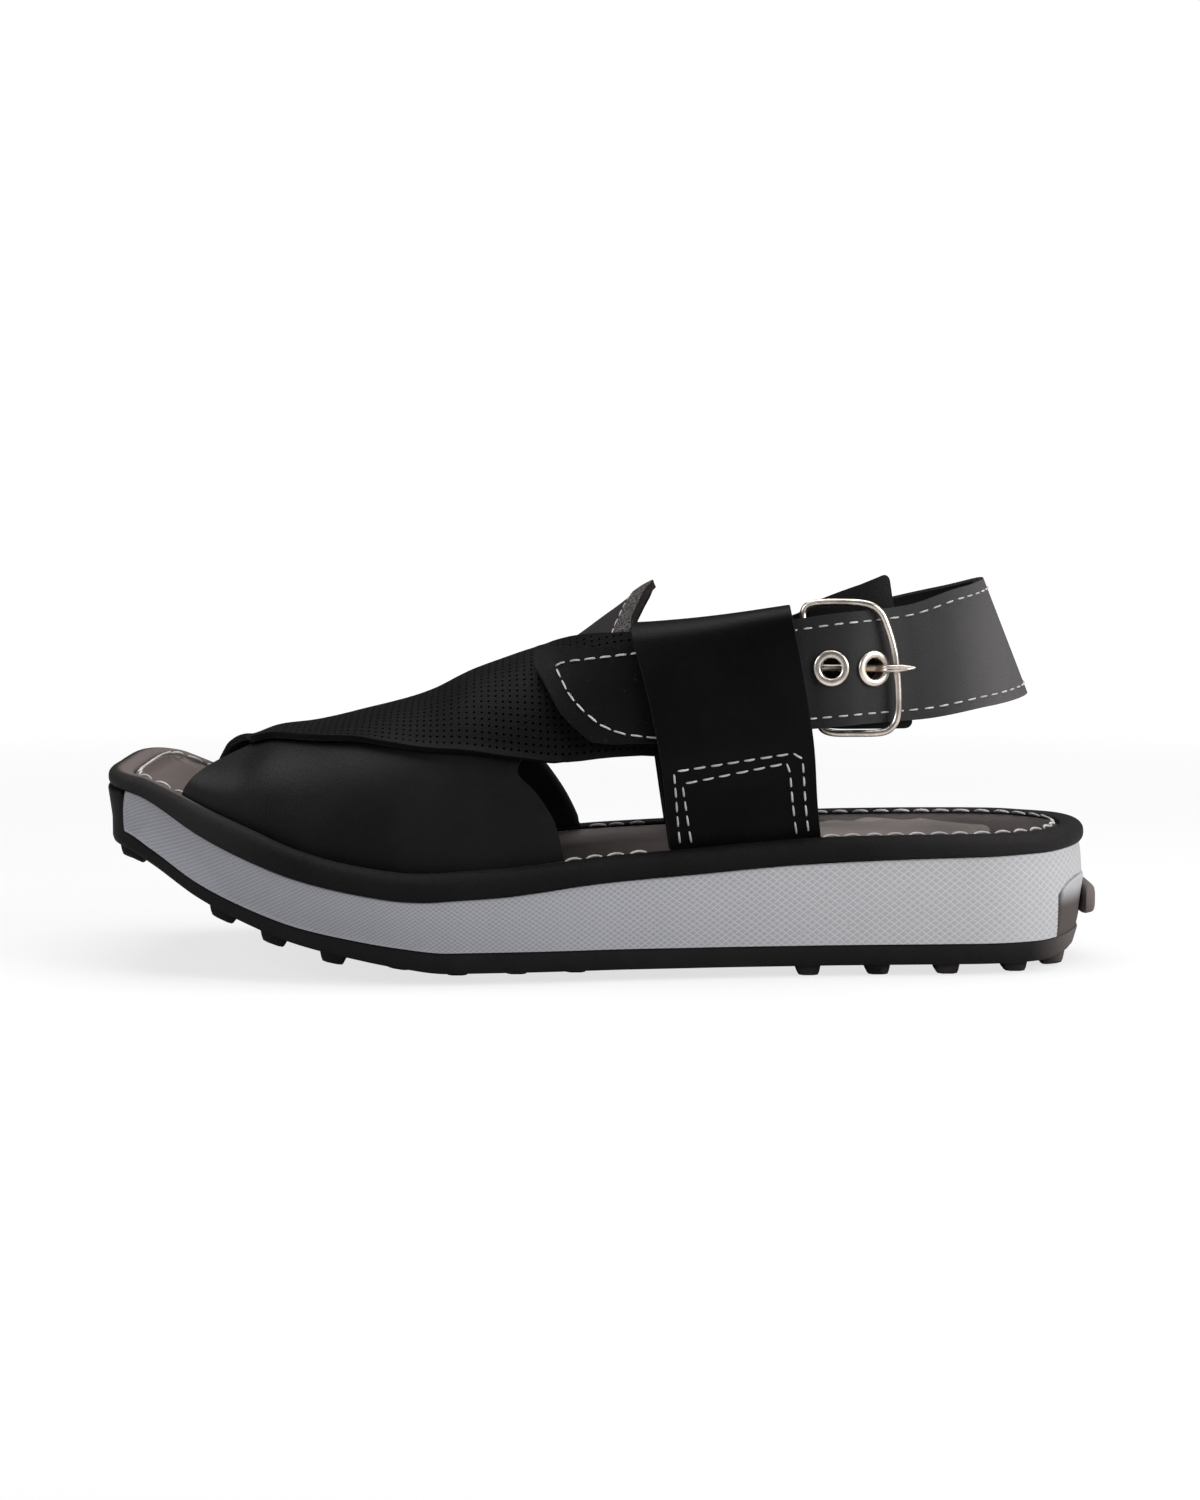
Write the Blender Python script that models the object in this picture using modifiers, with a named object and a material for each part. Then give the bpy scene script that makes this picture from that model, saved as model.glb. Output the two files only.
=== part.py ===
# Left peshawari chappal: an open sandal of two crossed leather bands on a platform sole.
# Metres. The toe points to -X, the outer side of the foot is -Y, the floor is z = 0.

import math

import bmesh
import bpy
from mathutils import Matrix, Vector

# Sole
SOLE_LENGTH = 0.2838
BALL_WIDTH = 0.1055
HEEL_WIDTH = 0.0720
BALL_AT = 0.35
HEEL_AT = 0.75
TOE_ROUND = 0.0155
TOE_SQUARENESS = 4.2
HEEL_ROUND = 0.0370
HEEL_SQUARENESS = 2.2
LUG_DEPTH = 0.0032
OUTSOLE_THICKNESS = 0.0058
OUTSOLE_INSET = 0.0009
OUTSOLE_CHAMFER = 0.0013
WRAP_FROM = 0.0017
MIDSOLE_HEEL = 0.0258
MIDSOLE_INSET = 0.0008
MIDSOLE_ROUND = 0.0012
TOE_SPRING = 0.0377
WELT_HEIGHT = 0.0074
WELT_WIDTH = 0.0070
INSOLE_DROP = 0.0010
INSOLE_DISH = 0.0022
INSOLE_CHAMFER = 0.0006
INSOLE_COLUMNS = 8
GAP = 0.0003

# What the outsole wraps up over the toe and the heel
BUMPER_REACH = 0.0068
BUMPER_THICKNESS = 0.0042
HEEL_CUP_REACH = 0.0090
HEEL_CUP_THICKNESS = 0.0030
HEEL_CUP_HEIGHT = 0.0234
HEEL_CUP_SIDE_HEIGHT = 0.0172
REAR_LUG_DEPTH = 0.0030
REAR_LUG_WIDTH = 0.0260
REAR_LUG_HEIGHT = 0.0100

# Tread lugs
LUG_LENGTH = 0.0082
LUG_TAPER = 0.0010
EDGE_LUG_WIDTH = 0.0170
CENTRE_LUG_WIDTH = 0.0200
LUG_CHANNEL = 0.0020
LUG_SET_IN = 0.0125
HEEL_LUG_PITCH = 0.0199
FOREPART_LUG_PITCH = 0.0168

# Upper
LEATHER = 0.0020
OVER_LEATHER = 0.0030
LAP = 0.0010
INSTEP_HEIGHT = 0.0728
RIDGE_SHIFT = 0.0020
UPPER_INSET = 0.0099
OVER_INSET = 0.0119

# Loops that hold the strap
LOOP_TOP = 0.1028
LOOP_TOP_RISE = 0.0052
MEDIAL_LOOP_DROP = 0.0060
LOOP_WALL = 0.0019
LOOP_FRONT = 0.0140
LOOP_WIDTH = 0.0430
LOOP_LEAN = 0.0088
SLOT_BOTTOM = 0.0606

# Heel strap, measured round the heel from the middle of its back
STRAP_THICKNESS = 0.0030
STRAP_WIDTH = 0.0336
STRAP_HEIGHT = 0.0937
STRAP_OUTER_REACH = 0.1517
STRAP_INNER_REACH = 0.1190
STRAP_CLEARANCE = 0.0010
HEEL_CENTRE = 0.0720
HEEL_ARC = 0.0610
HEEL_BACK = 0.1168
HEEL_LEAN = 0.40
HEEL_LEAN_FROM = 0.0770

# Buckle, on the outer side
FLAP_THICKNESS = 0.0020
FLAP_ROOT_DEPTH = -0.0043
FLAP_DEPTH = -0.0005
FLAP_START = 0.0960
FLAP_END = 0.0490
BUCKLE_LEAN = 0.14
FLAP_END_LEAN = 0.05
WIRE_RADIUS = 0.0010
PRONG_RADIUS = 0.0009
PRONG_BEND = 0.0080
PRONG_TIP = 0.0040
FRAME_HEIGHT = 0.0362
FRAME_LEVEL_FROM = 0.70
BAR_CLEARANCE = 0.0020
BUCKLE_HEIGHT = 0.0873
HINGE_AT = 0.0752
OUTER_BAR_AT = 0.0526
STRAP_SWING = 0.0045
EYELETS_AT = (0.0700, 0.0580)
EYELET_HOLE = 0.0029
EYELET_RADIUS = 0.0051
EYELET_WALL = 0.0005
EYELET_FLANGE = 0.0008
EYELET_ROUND = 0.0005

# Half widths of the sole along its length: share of the length, then the outer and the
# inner side as shares of the half width there
OUTLINE = (
    (0.00, 0.630, 0.850),
    (0.05, 0.680, 0.920),
    (0.10, 0.790, 0.967),
    (0.15, 0.872, 1.000),
    (0.20, 0.938, 1.010),
    (0.25, 0.986, 1.005),
    (0.30, 1.005, 0.976),
    (0.35, 0.995, 0.930),
    (0.40, 0.980, 0.890),
    (0.50, 0.980, 0.853),
    (0.60, 1.030, 0.891),
    (0.70, 1.076, 0.962),
    (0.80, 1.042, 0.972),
    (0.90, 1.000, 0.958),
    (1.00, 0.972, 0.944),
)

# Section of the welt, from its foot round the outside: how far in, as a share of its
# width, and how high, as a share of its height
WELT = (
    (0.10, 0.00),
    (0.00, 0.22),
    (0.01, 0.62),
    (0.17, 0.88),
    (0.46, 1.00),
    (0.80, 0.97),
    (1.00, 0.84),
    (1.00, 0.00),
)

# Side view of the sole: share of the length, rise of the bottom as a share of the toe
# spring, then midsole, welt and outsole as shares of their full heights
SIDE = (
    (0.00, 0.930, 0.396, 0.66, 0.95),
    (0.03, 0.864, 0.463, 0.68, 0.78),
    (0.05, 0.772, 0.520, 0.79, 0.73),
    (0.10, 0.530, 0.537, 1.12, 0.72),
    (0.15, 0.350, 0.529, 1.22, 0.76),
    (0.20, 0.212, 0.520, 1.12, 0.82),
    (0.25, 0.124, 0.510, 1.05, 0.88),
    (0.30, 0.050, 0.516, 1.05, 0.95),
    (0.35, 0.000, 0.570, 1.05, 1.00),
    (0.40, 0.000, 0.600, 1.03, 1.00),
    (0.50, 0.000, 0.730, 0.98, 1.00),
    (0.60, 0.000, 0.815, 0.97, 1.00),
    (0.70, 0.000, 0.900, 0.97, 1.00),
    (0.80, 0.000, 0.945, 0.91, 1.00),
    (0.90, 0.000, 0.973, 0.84, 1.00),
    (0.94, 0.000, 0.985, 0.82, 1.00),
    (1.00, 0.045, 0.960, 0.80, 1.00),
)

# The last over the footbed: share of the length, height of the ridge as a share of the
# instep's, roundness of the section (2 is an ellipse)
LAST = (
    (0.00, 0.100, 2.3),
    (0.086, 0.135, 2.3),
    (0.135, 0.218, 2.3),
    (0.169, 0.325, 2.3),
    (0.211, 0.410, 2.3),
    (0.252, 0.488, 2.3),
    (0.294, 0.556, 2.3),
    (0.336, 0.620, 2.3),
    (0.377, 0.692, 2.3),
    (0.419, 0.742, 2.3),
    (0.460, 0.780, 2.3),
    (0.517, 0.908, 2.4),
    (0.554, 1.000, 2.5),
    (0.630, 1.090, 3.0),
    (0.719, 1.320, 3.4),
    (0.800, 1.560, 3.6),
    (1.00, 1.560, 3.6),
)

# Smooth band: share of the girth from the outer to the inner side, then its front and
# rear edges as shares of the length
SMOOTH_BAND = (
    (0.000, 0.084, 0.464),
    (0.050, 0.086, 0.454),
    (0.100, 0.089, 0.436),
    (0.145, 0.092, 0.418),
    (0.190, 0.096, 0.436),
    (0.250, 0.102, 0.485),
    (0.305, 0.109, 0.535),
    (0.350, 0.116, 0.535),
    (0.400, 0.124, 0.543),
    (0.450, 0.132, 0.551),
    (0.500, 0.138, 0.558),
    (0.540, 0.143, 0.556),
    (0.590, 0.162, 0.553),
    (0.640, 0.198, 0.545),
    (0.688, 0.256, 0.536),
    (0.740, 0.305, 0.533),
    (0.754, 0.320, 0.556),
    (0.792, 0.362, 0.630),
    (0.811, 0.383, 0.630),
    (0.859, 0.457, 0.630),
    (0.880, 0.507, 0.630),
    (0.903, 0.556, 0.630),
)

# Perforated band, which lies over the smooth one: the same columns
OVER_BAND = (
    (0.100, 0.556, 0.630),
    (0.120, 0.507, 0.630),
    (0.141, 0.457, 0.630),
    (0.189, 0.383, 0.630),
    (0.240, 0.326, 0.630),
    (0.267, 0.298, 0.600),
    (0.288, 0.277, 0.551),
    (0.312, 0.256, 0.538),
    (0.352, 0.210, 0.513),
    (0.400, 0.165, 0.492),
    (0.460, 0.143, 0.472),
    (0.500, 0.137, 0.460),
    (0.550, 0.132, 0.447),
    (0.600, 0.124, 0.436),
    (0.650, 0.116, 0.430),
    (0.700, 0.109, 0.423),
    (0.800, 0.097, 0.419),
    (0.855, 0.092, 0.422),
    (0.900, 0.089, 0.440),
    (0.950, 0.086, 0.460),
    (1.000, 0.084, 0.478),
)

# Heel strap from its inner end (-1) round the back (0) to its free end (1): how far its
# middle lies above that of the back, and its height, both as shares of its width there
STRAP = (
    (-1.000, -0.500, 0.780),
    (-0.773, -0.470, 0.800),
    (-0.660, -0.420, 0.830),
    (-0.513, -0.240, 0.900),
    (-0.252, -0.095, 0.970),
    (0.000, -0.035, 1.000),
    (0.198, -0.070, 0.985),
    (0.310, -0.150, 0.950),
    (0.402, -0.185, 0.930),
    (0.500, -0.240, 0.905),
    (0.607, -0.320, 0.850),
    (0.811, -0.470, 0.726),
    (0.898, -0.505, 0.675),
    (0.930, -0.470, 0.560),
    (0.960, -0.415, 0.420),
    (0.985, -0.340, 0.220),
    (1.000, -0.305, 0.100),
)

# Flap behind the buckle, from its root behind the loop (0) to its free edge (1): the same
# measures, then its depth, where 0 is under the loop and 1 is behind the buckle
FLAP = (
    (0.00, -0.290, 0.710, 0.0),
    (0.18, -0.250, 0.850, 0.0),
    (0.42, -0.210, 0.990, 0.0),
    (0.47, -0.181, 1.028, 1.0),
    (0.60, -0.147, 1.116, 1.0),
    (0.80, -0.095, 1.220, 1.0),
    (1.00, -0.050, 1.310, 1.0),
)

# How the strap swings out over the hinge and in under the outer bar: share of the way
# round to the hinge, then the swing off the foot as a share of its size
SWING = (
    (0.45, 0.00),
    (0.60, -0.45),
    (0.66, -0.60),
    (0.69, -0.58),
    (0.84, 0.36),
    (0.863, 0.42),
    (1.004, 0.00),
)

# The buckle's frame, from the middle of its hinge up, round and back: from the hinge (0)
# to the outer bar (1), then the height over its middle as a share of half its height
FRAME = (
    (0.00, 0.00),
    (0.00, 0.60),
    (0.03, 0.88),
    (0.16, 0.98),
    (0.50, 1.00),
    (0.74, 0.97),
    (0.87, 0.84),
    (0.94, 0.58),
    (0.985, 0.28),
    (1.00, 0.00),
    (1.00, -0.35),
    (0.98, -0.68),
    (0.92, -0.88),
    (0.80, -0.98),
    (0.50, -1.00),
    (0.16, -1.00),
    (0.03, -0.90),
    (0.00, -0.60),
)

# Loops from the footbed (0) to the fold at the top (1): how far the outer and the inner
# face stand off the foot, as shares of the slot's depth
LOOP = (
    (0.00, 0.02, -0.44),
    (0.14, 0.02, -0.44),
    (0.24, 0.26, -0.40),
    (0.31, 1.04, -0.31),
    (0.35, 1.29, -0.29),
    (0.70, 1.29, -0.29),
    (0.92, 1.26, -0.27),
    (0.98, 1.12, -0.12),
    (1.00, 0.92, 0.08),
)

# Tread: rows of lugs in the forepart as shares of the length, then how far each edge lug
# is set in, as a share of the set-in
TOE_LUG_ROWS = (
    (0.030, 0.0),
    (0.124, 0.0),
    (0.176, 0.0),
    (0.236, 0.0),
)
INNER_LUG_ROWS = 4
HEEL_LUG_ROWS = 4
FIRST_INNER_ROW = 0.298
FIRST_HEEL_ROW = 0.709
REAR_LUG_ROW = 0.962

# How finely the surfaces are divided
STATIONS = 31
END_CROWDING = 0.38
BAND_COLUMNS = 10
GIRTH_STEP = 0.0255
STRAP_COLUMNS = 5
STRAP_STEP = 0.0065
LOOP_COLUMNS = 5
ROUND_STEPS = 20
CUTTER_REACH = 0.0100

COLOURS = {
    "rubber": (0.012, 0.011, 0.011, 0.62, 0.0),
    "foam": (0.30, 0.31, 0.35, 0.80, 0.0),
    "footbed": (0.12, 0.095, 0.085, 0.60, 0.0),
    "leather": (0.010, 0.010, 0.011, 0.45, 0.0),
    "strap": (0.030, 0.028, 0.030, 0.50, 0.0),
    "metal": (0.78, 0.73, 0.66, 0.22, 1.0),
}


def smooth_read(table, at, column):
    """Value of a column at a share, on a curve through the rows that never overshoots."""
    last = len(table) - 1
    at = min(max(at, table[0][0]), table[last][0])
    i = 0
    while i < last - 1 and at > table[i + 1][0]:
        i += 1

    def slope(k):
        return (table[k + 1][column] - table[k][column]) / (table[k + 1][0] - table[k][0])

    def tangent(k):
        if k == 0:
            return slope(0)
        if k == last:
            return slope(last - 1)
        before = slope(k - 1)
        after = slope(k)
        return 0.0 if before * after <= 0 else 2 * before * after / (before + after)

    span = table[i + 1][0] - table[i][0]
    t = (at - table[i][0]) / span
    start = table[i][column] * (2 * t**3 - 3 * t**2 + 1) + tangent(i) * span * (t**3 - 2 * t**2 + t)
    end = table[i + 1][column] * (3 * t**2 - 2 * t**3) + tangent(i + 1) * span * (t**3 - t**2)
    return start + end


def line_read(table, at, column):
    """Value of a column at a share, on straight lines between the rows."""
    for before, after in zip(table, table[1:]):
        if at <= after[0]:
            t = max(0.0, (at - before[0]) / (after[0] - before[0]))
            return before[column] + t * (after[column] - before[column])
    return table[-1][column]


# Where the sole lies


def along(share):
    return share * SOLE_LENGTH - (SOLE_LENGTH + REAR_LUG_DEPTH) / 2


def share_at(x):
    return min(max((x - along(0)) / SOLE_LENGTH, 0.0), 1.0)


def half_widths(share):
    """Outer and inner half widths before the ends are rounded."""
    towards_heel = ease((share - BALL_AT) / (HEEL_AT - BALL_AT))
    half = (BALL_WIDTH + (HEEL_WIDTH - BALL_WIDTH) * towards_heel) / 2
    return half * smooth_read(OUTLINE, share, 1), half * smooth_read(OUTLINE, share, 2)


def end_round(share):
    """How much of the width is left where the toe and the heel round off."""
    from_toe = share * SOLE_LENGTH
    from_heel = (1 - share) * SOLE_LENGTH
    if from_toe < TOE_ROUND:
        power = TOE_SQUARENESS
        return max(0.0, 1 - ((TOE_ROUND - from_toe) / TOE_ROUND) ** power) ** (1 / power)
    if from_heel < HEEL_ROUND:
        power = HEEL_SQUARENESS
        return max(0.0, 1 - ((HEEL_ROUND - from_heel) / HEEL_ROUND) ** power) ** (1 / power)
    return 1.0


def outline_point(share, side):
    outer, inner = half_widths(share)
    centre = (inner - outer) / 2
    half = (inner + outer) / 2 * end_round(share)
    return Vector((along(share), centre + side * half, 0))


def base_height(share):
    return LUG_DEPTH + TOE_SPRING * smooth_read(SIDE, share, 1)


def outsole_top(share):
    return base_height(share) + OUTSOLE_THICKNESS * smooth_read(SIDE, share, 4)


def midsole_top(share):
    return outsole_top(share) + MIDSOLE_HEEL * smooth_read(SIDE, share, 2)


def welt_top(share):
    return midsole_top(share) + WELT_HEIGHT * smooth_read(SIDE, share, 3)


def footbed_edge(share):
    return welt_top(share) - INSOLE_DROP


def ease(t):
    """A smooth step from 0 to 1."""
    t = min(max(t, 0.0), 1.0)
    return t * t * (3 - 2 * t)


def station_shares():
    """Shares of the length, close together at both ends."""
    shares = []
    for i in range(STATIONS + 1):
        even = (1 - math.cos(math.pi * i / STATIONS)) / 2
        shares.append((1 - END_CROWDING) * even + END_CROWDING * ease(even))
    return shares


def perimeter(shares):
    """Points (share, side) round the sole: outer side from toe to heel, inner side back."""
    outer = [(share, -1) for share in shares]
    inner = [(share, 1) for share in reversed(shares[1:-1])]
    return outer + inner


def inset_ring(stations, inset, height, closed=True, level=True):
    """Outline points moved inwards along its normals, at heights given by share. A level
    ring takes the share where each point comes to lie, else it keeps its station's."""
    points = [outline_point(share, side) for share, side in stations]
    count = len(points)
    ring = []
    for i in range(count):
        before = points[i - 1] if closed or i > 0 else points[i]
        after = points[(i + 1) % count] if closed or i < count - 1 else points[i]
        direction = (after - before).normalized()
        inward = Vector((-direction.y, direction.x, 0))
        moved = points[i] + inward * inset
        share = share_at(moved.x) if level else stations[i][0]
        ring.append(Vector((moved.x, moved.y, height(share))))
    return ring


# Meshes


def new_object(name, bm, collection, finish=None):
    bm.normal_update()
    bmesh.ops.recalc_face_normals(bm, faces=bm.faces)
    mesh = bpy.data.meshes.new(name)
    bm.to_mesh(mesh)
    bm.free()
    piece = bpy.data.objects.new(name, mesh)
    collection.objects.link(piece)
    if finish:
        mesh.materials.append(finish)
    else:
        piece.hide_render = True
        piece.display_type = "WIRE"
    mesh.shade_smooth()
    mesh.set_sharp_from_angle(angle=math.radians(40))
    return piece


def bridge(bm, first, second, closed=True):
    count = len(first)
    for i in range(count if closed else count - 1):
        j = (i + 1) % count
        bm.faces.new((first[i], first[j], second[j], second[i]))


def loft_rings(bm, rings):
    rows = [[bm.verts.new(point) for point in ring] for ring in rings]
    for first, second in zip(rows, rows[1:]):
        bridge(bm, first, second)
    return rows


def cap_across(bm, ring, columns=1, sag=None):
    """Closes a ring of the perimeter with strips from the outer to the inner side."""
    half = len(ring) // 2
    previous = [ring[0]]
    for i in range(1, half):
        outer = ring[i]
        inner = ring[-i]
        row = [outer]
        for k in range(1, columns):
            t = k / columns
            point = outer.co.lerp(inner.co, t)
            if sag:
                point.z -= sag(t, share_at(point.x))
            row.append(bm.verts.new(point))
        row.append(inner)
        if len(previous) == 1:
            for k in range(columns):
                bm.faces.new((previous[0], row[k], row[k + 1]))
        else:
            for k in range(columns):
                bm.faces.new((previous[k], row[k], row[k + 1], previous[k + 1]))
        previous = row
    for k in range(columns):
        bm.faces.new((previous[k], ring[half], previous[k + 1]))


def sole_slab(levels, columns=1, sag=None):
    """A layer of the sole: levels are (inset, height by share) from bottom to top."""
    bm = bmesh.new()
    stations = perimeter(station_shares())
    rows = loft_rings(bm, [inset_ring(stations, inset, height) for inset, height in levels])
    cap_across(bm, rows[0])
    cap_across(bm, rows[-1], columns, sag)
    return bm


def swept_wall(stations, profile, level=True):
    """A closed strip along part of the perimeter; profile is (inset, height) corners."""
    bm = bmesh.new()
    rings = [inset_ring(stations, inset, height, False, level) for inset, height in profile]
    rows = [[bm.verts.new(ring[i]) for ring in rings] for i in range(len(stations))]
    for first, second in zip(rows, rows[1:]):
        bridge(bm, first, second)
    bm.faces.new(rows[0])
    bm.faces.new(list(reversed(rows[-1])))
    return bm


def grid_surface(rows):
    """An open surface through rows of points, facing the side that the rows turn to."""
    bm = bmesh.new()
    verts = [[bm.verts.new(point) for point in row] for row in rows]
    for first, second in zip(verts, verts[1:]):
        bridge(bm, first, second, closed=False)
    return bm


def thick_surface(name, rows, thickness, collection, finish):
    """An open grid made solid on its outer side."""
    bm = grid_surface(rows)
    mesh = bpy.data.meshes.new(name)
    bm.to_mesh(mesh)
    bm.free()
    piece = bpy.data.objects.new(name, mesh)
    collection.objects.link(piece)
    if finish:
        mesh.materials.append(finish)
    mesh.shade_smooth()
    solid = piece.modifiers.new("wall", "SOLIDIFY")
    solid.thickness = thickness
    solid.offset = 1
    solid.use_even_offset = False
    return piece


def boolean(piece, cutter, operation):
    modifier = piece.modifiers.new(cutter.name, "BOOLEAN")
    modifier.operation = operation
    modifier.object = cutter
    modifier.solver = "EXACT"


def make_finish(name):
    red, green, blue, roughness, metallic = COLOURS[name]
    made = bpy.data.materials.new(name)
    made.use_nodes = True
    shader = made.node_tree.nodes["Principled BSDF"]
    shader.inputs["Base Color"].default_value = (red, green, blue, 1)
    shader.inputs["Roughness"].default_value = roughness
    shader.inputs["Metallic"].default_value = metallic
    made.diffuse_color = (red, green, blue, 1)
    return made


# The last, which the bands, loops and strap follow


def ridge_line(share):
    outer, inner = half_widths(share)
    return (inner - outer) / 2 + RIDGE_SHIFT


def side_reach(share, side):
    """Half width of the last at the footbed, from the ridge to one side."""
    outer, inner = half_widths(share)
    if side < 0:
        return outer - UPPER_INSET + ridge_line(share)
    return inner - OVER_INSET - ridge_line(share)


def last_at_height(x, height, side):
    """Point on the last at one x and one height above the floor."""
    share = share_at(x)
    rise = INSTEP_HEIGHT * smooth_read(LAST, share, 1)
    power = smooth_read(LAST, share, 2)
    level = min(max((height - footbed_edge(share)) / rise, 0.0), 1.0)
    half = side_reach(share, side) * (1 - level**power) ** (1 / power)
    return Vector((x, ridge_line(share) + side * half, height))


def last_at_girth(share, girth):
    """Point on the last at a share of the girth, 0 at the outer and 1 at the inner side."""
    side = -1 if girth < 0.5 else 1
    level = abs(math.sin(math.pi * girth)) ** 0.85
    power = smooth_read(LAST, share, 2)
    rise = INSTEP_HEIGHT * smooth_read(LAST, share, 1)
    half = side_reach(share, side) * max(0.0, 1 - level**power) ** (1 / power)
    return Vector((along(share), ridge_line(share) + side * half, footbed_edge(share) + GAP + rise * level))


def off_surface(point_at, first, second, distance, step=0.0005):
    """Point of a surface moved along its normal, away from the foot."""
    across = point_at(first + step, second) - point_at(first - step, second)
    up = point_at(first, second + step) - point_at(first, second - step)
    normal = across.cross(up).normalized()
    return point_at(first, second) + normal * distance


def heel_half(height, side):
    reach = last_at_height(HEEL_CENTRE, height, side)
    return abs(reach.y - ridge_line(share_at(HEEL_CENTRE)))


def wall_point(distance, height):
    """Point beside the foot, by distance round the heel: -inner side, 0 back, +outer."""
    side = 1 if distance < 0 else -1
    if abs(distance) > HEEL_ARC:
        x = HEEL_CENTRE - (abs(distance) - HEEL_ARC)
        return last_at_height(x, height, side)
    angle = distance / HEEL_ARC * math.pi / 2
    back = HEEL_BACK - HEEL_LEAN * (height - HEEL_LEAN_FROM) - HEEL_CENTRE
    half = heel_half(height, side)
    y = ridge_line(share_at(HEEL_CENTRE)) - half * math.sin(angle)
    return Vector((HEEL_CENTRE + back * math.cos(angle), y, height))


def wall_off(distance, height, off):
    return off_surface(lambda up, round_heel: wall_point(round_heel, up), height, distance, off)


def strap_level(at):
    """Low and high edge of the heel strap at a place along it."""
    middle = STRAP_HEIGHT + STRAP_WIDTH * smooth_read(STRAP, at, 1)
    half = STRAP_WIDTH * smooth_read(STRAP, at, 2) / 2
    return middle - half, middle + half


def strap_place(at):
    return at * (STRAP_OUTER_REACH if at > 0 else STRAP_INNER_REACH)


def outer_band_face():
    return LEATHER - LAP + OVER_LEATHER


def strap_off(distance):
    """How far the strap's inner face stands off the foot: it lies over each band's end."""
    outer = outer_band_face() + STRAP_CLEARANCE
    inner = LEATHER + STRAP_CLEARANCE
    across = ease((distance + HEEL_ARC) / (2 * HEEL_ARC))
    swing = STRAP_SWING * line_read(SWING, distance / HINGE_AT, 1)
    return inner + (outer - inner) * across + swing


def strap_face(height, distance):
    return wall_off(distance, height, strap_off(distance) + STRAP_THICKNESS)


# Pieces


def lug_bottoms():
    """Lugs as (middle along the sole, low side, high side)."""
    lugs = []
    rows = [(along(share), set_in) for share, set_in in TOE_LUG_ROWS]
    first = along(FIRST_INNER_ROW)
    rows += [(first + i * FOREPART_LUG_PITCH, 1.0) for i in range(INNER_LUG_ROWS)]
    first = along(FIRST_HEEL_ROW)
    rows += [(first + i * HEEL_LUG_PITCH, 0.0) for i in range(HEEL_LUG_ROWS)]
    rows.append((along(REAR_LUG_ROW), 0.0))
    for x, set_in in rows:
        edge = 2 * OUTSOLE_INSET + set_in * LUG_SET_IN
        corners = (share_at(x - LUG_LENGTH / 2), share_at(x + LUG_LENGTH / 2))
        low = max(outline_point(share, -1).y for share in corners) + edge
        high = min(outline_point(share, 1).y for share in corners) - edge
        centre = (low + high) / 2
        lugs.append((x, low, low + EDGE_LUG_WIDTH))
        lugs.append((x, high - EDGE_LUG_WIDTH, high))
        if high - low > 2 * EDGE_LUG_WIDTH + CENTRE_LUG_WIDTH + 2 * LUG_CHANNEL:
            lugs.append((x, centre - CENTRE_LUG_WIDTH / 2, centre + CENTRE_LUG_WIDTH / 2))
    return lugs


def make_lugs():
    bm = bmesh.new()
    for x, low, high in lug_bottoms():
        cube = bmesh.ops.create_cube(bm, size=1)
        for vert in cube["verts"]:
            top = vert.co.z > 0
            shrink = 0 if top else LUG_TAPER
            vert.co.x = x + math.copysign(LUG_LENGTH / 2 - shrink, vert.co.x)
            middle = (low + high) / 2
            vert.co.y = middle + math.copysign((high - low) / 2 - shrink, vert.co.y)
            level = base_height(share_at(vert.co.x))
            vert.co.z = level + OUTSOLE_THICKNESS / 3 if top else level - LUG_DEPTH
    return bm


def wrap_stations(reach, heel):
    """Perimeter stations within a distance of the toe or the heel, outer to inner side."""
    limit = reach / SOLE_LENGTH
    steps = 7
    ends = [limit * (1 - math.cos(math.pi / 2 * i / steps)) for i in range(steps + 1)]
    ends = [1 - end for end in ends] if heel else ends
    outer = [(end, -1) for end in reversed(ends)]
    inner = [(end, 1) for end in ends[1:]]
    stations = outer + inner
    return stations if heel else list(reversed(stations))


def make_outsole(collection, cutters, finish):
    plate = [
        (OUTSOLE_INSET + OUTSOLE_CHAMFER, base_height),
        (OUTSOLE_INSET, lambda share: base_height(share) + OUTSOLE_CHAMFER),
        (OUTSOLE_INSET, outsole_top),
    ]
    outsole = new_object("outsole", sole_slab(plate), collection, finish)
    boolean(outsole, new_object("lugs", make_lugs(), cutters), "UNION")
    bumper = swept_wall(
        wrap_stations(BUMPER_REACH, heel=False),
        (
            (OUTSOLE_INSET, lambda share: base_height(share) + WRAP_FROM),
            (OUTSOLE_INSET / 3, lambda share: midsole_top(share) - GAP),
            (BUMPER_THICKNESS, lambda share: midsole_top(share) - GAP),
            (BUMPER_THICKNESS, lambda share: base_height(share) + WRAP_FROM),
        ),
    )
    boolean(outsole, new_object("bumper", bumper, cutters), "UNION")
    cup = swept_wall(
        wrap_stations(HEEL_CUP_REACH, heel=True),
        (
            (OUTSOLE_INSET, lambda share: base_height(share) + WRAP_FROM),
            (OUTSOLE_INSET / 3, cup_height),
            (HEEL_CUP_THICKNESS, cup_height),
            (HEEL_CUP_THICKNESS, lambda share: base_height(share) + WRAP_FROM),
        ),
        level=False,
    )
    boolean(outsole, new_object("heel_cup", cup, cutters), "UNION")
    bm = bmesh.new()
    cube = bmesh.ops.create_cube(bm, size=1)
    centre = outline_point(1, 1)
    for vert in cube["verts"]:
        behind = vert.co.x > 0
        shrink = LUG_TAPER if behind else 0
        vert.co.x = centre.x + (REAR_LUG_DEPTH if behind else -HEEL_CUP_THICKNESS / 2)
        vert.co.y = centre.y + math.copysign(REAR_LUG_WIDTH / 2 - shrink, vert.co.y)
        middle = HEEL_CUP_HEIGHT - REAR_LUG_HEIGHT / 2
        vert.co.z = middle + math.copysign(REAR_LUG_HEIGHT / 2 - shrink, vert.co.z)
    boolean(outsole, new_object("rear_lug", bm, cutters), "UNION")


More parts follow.
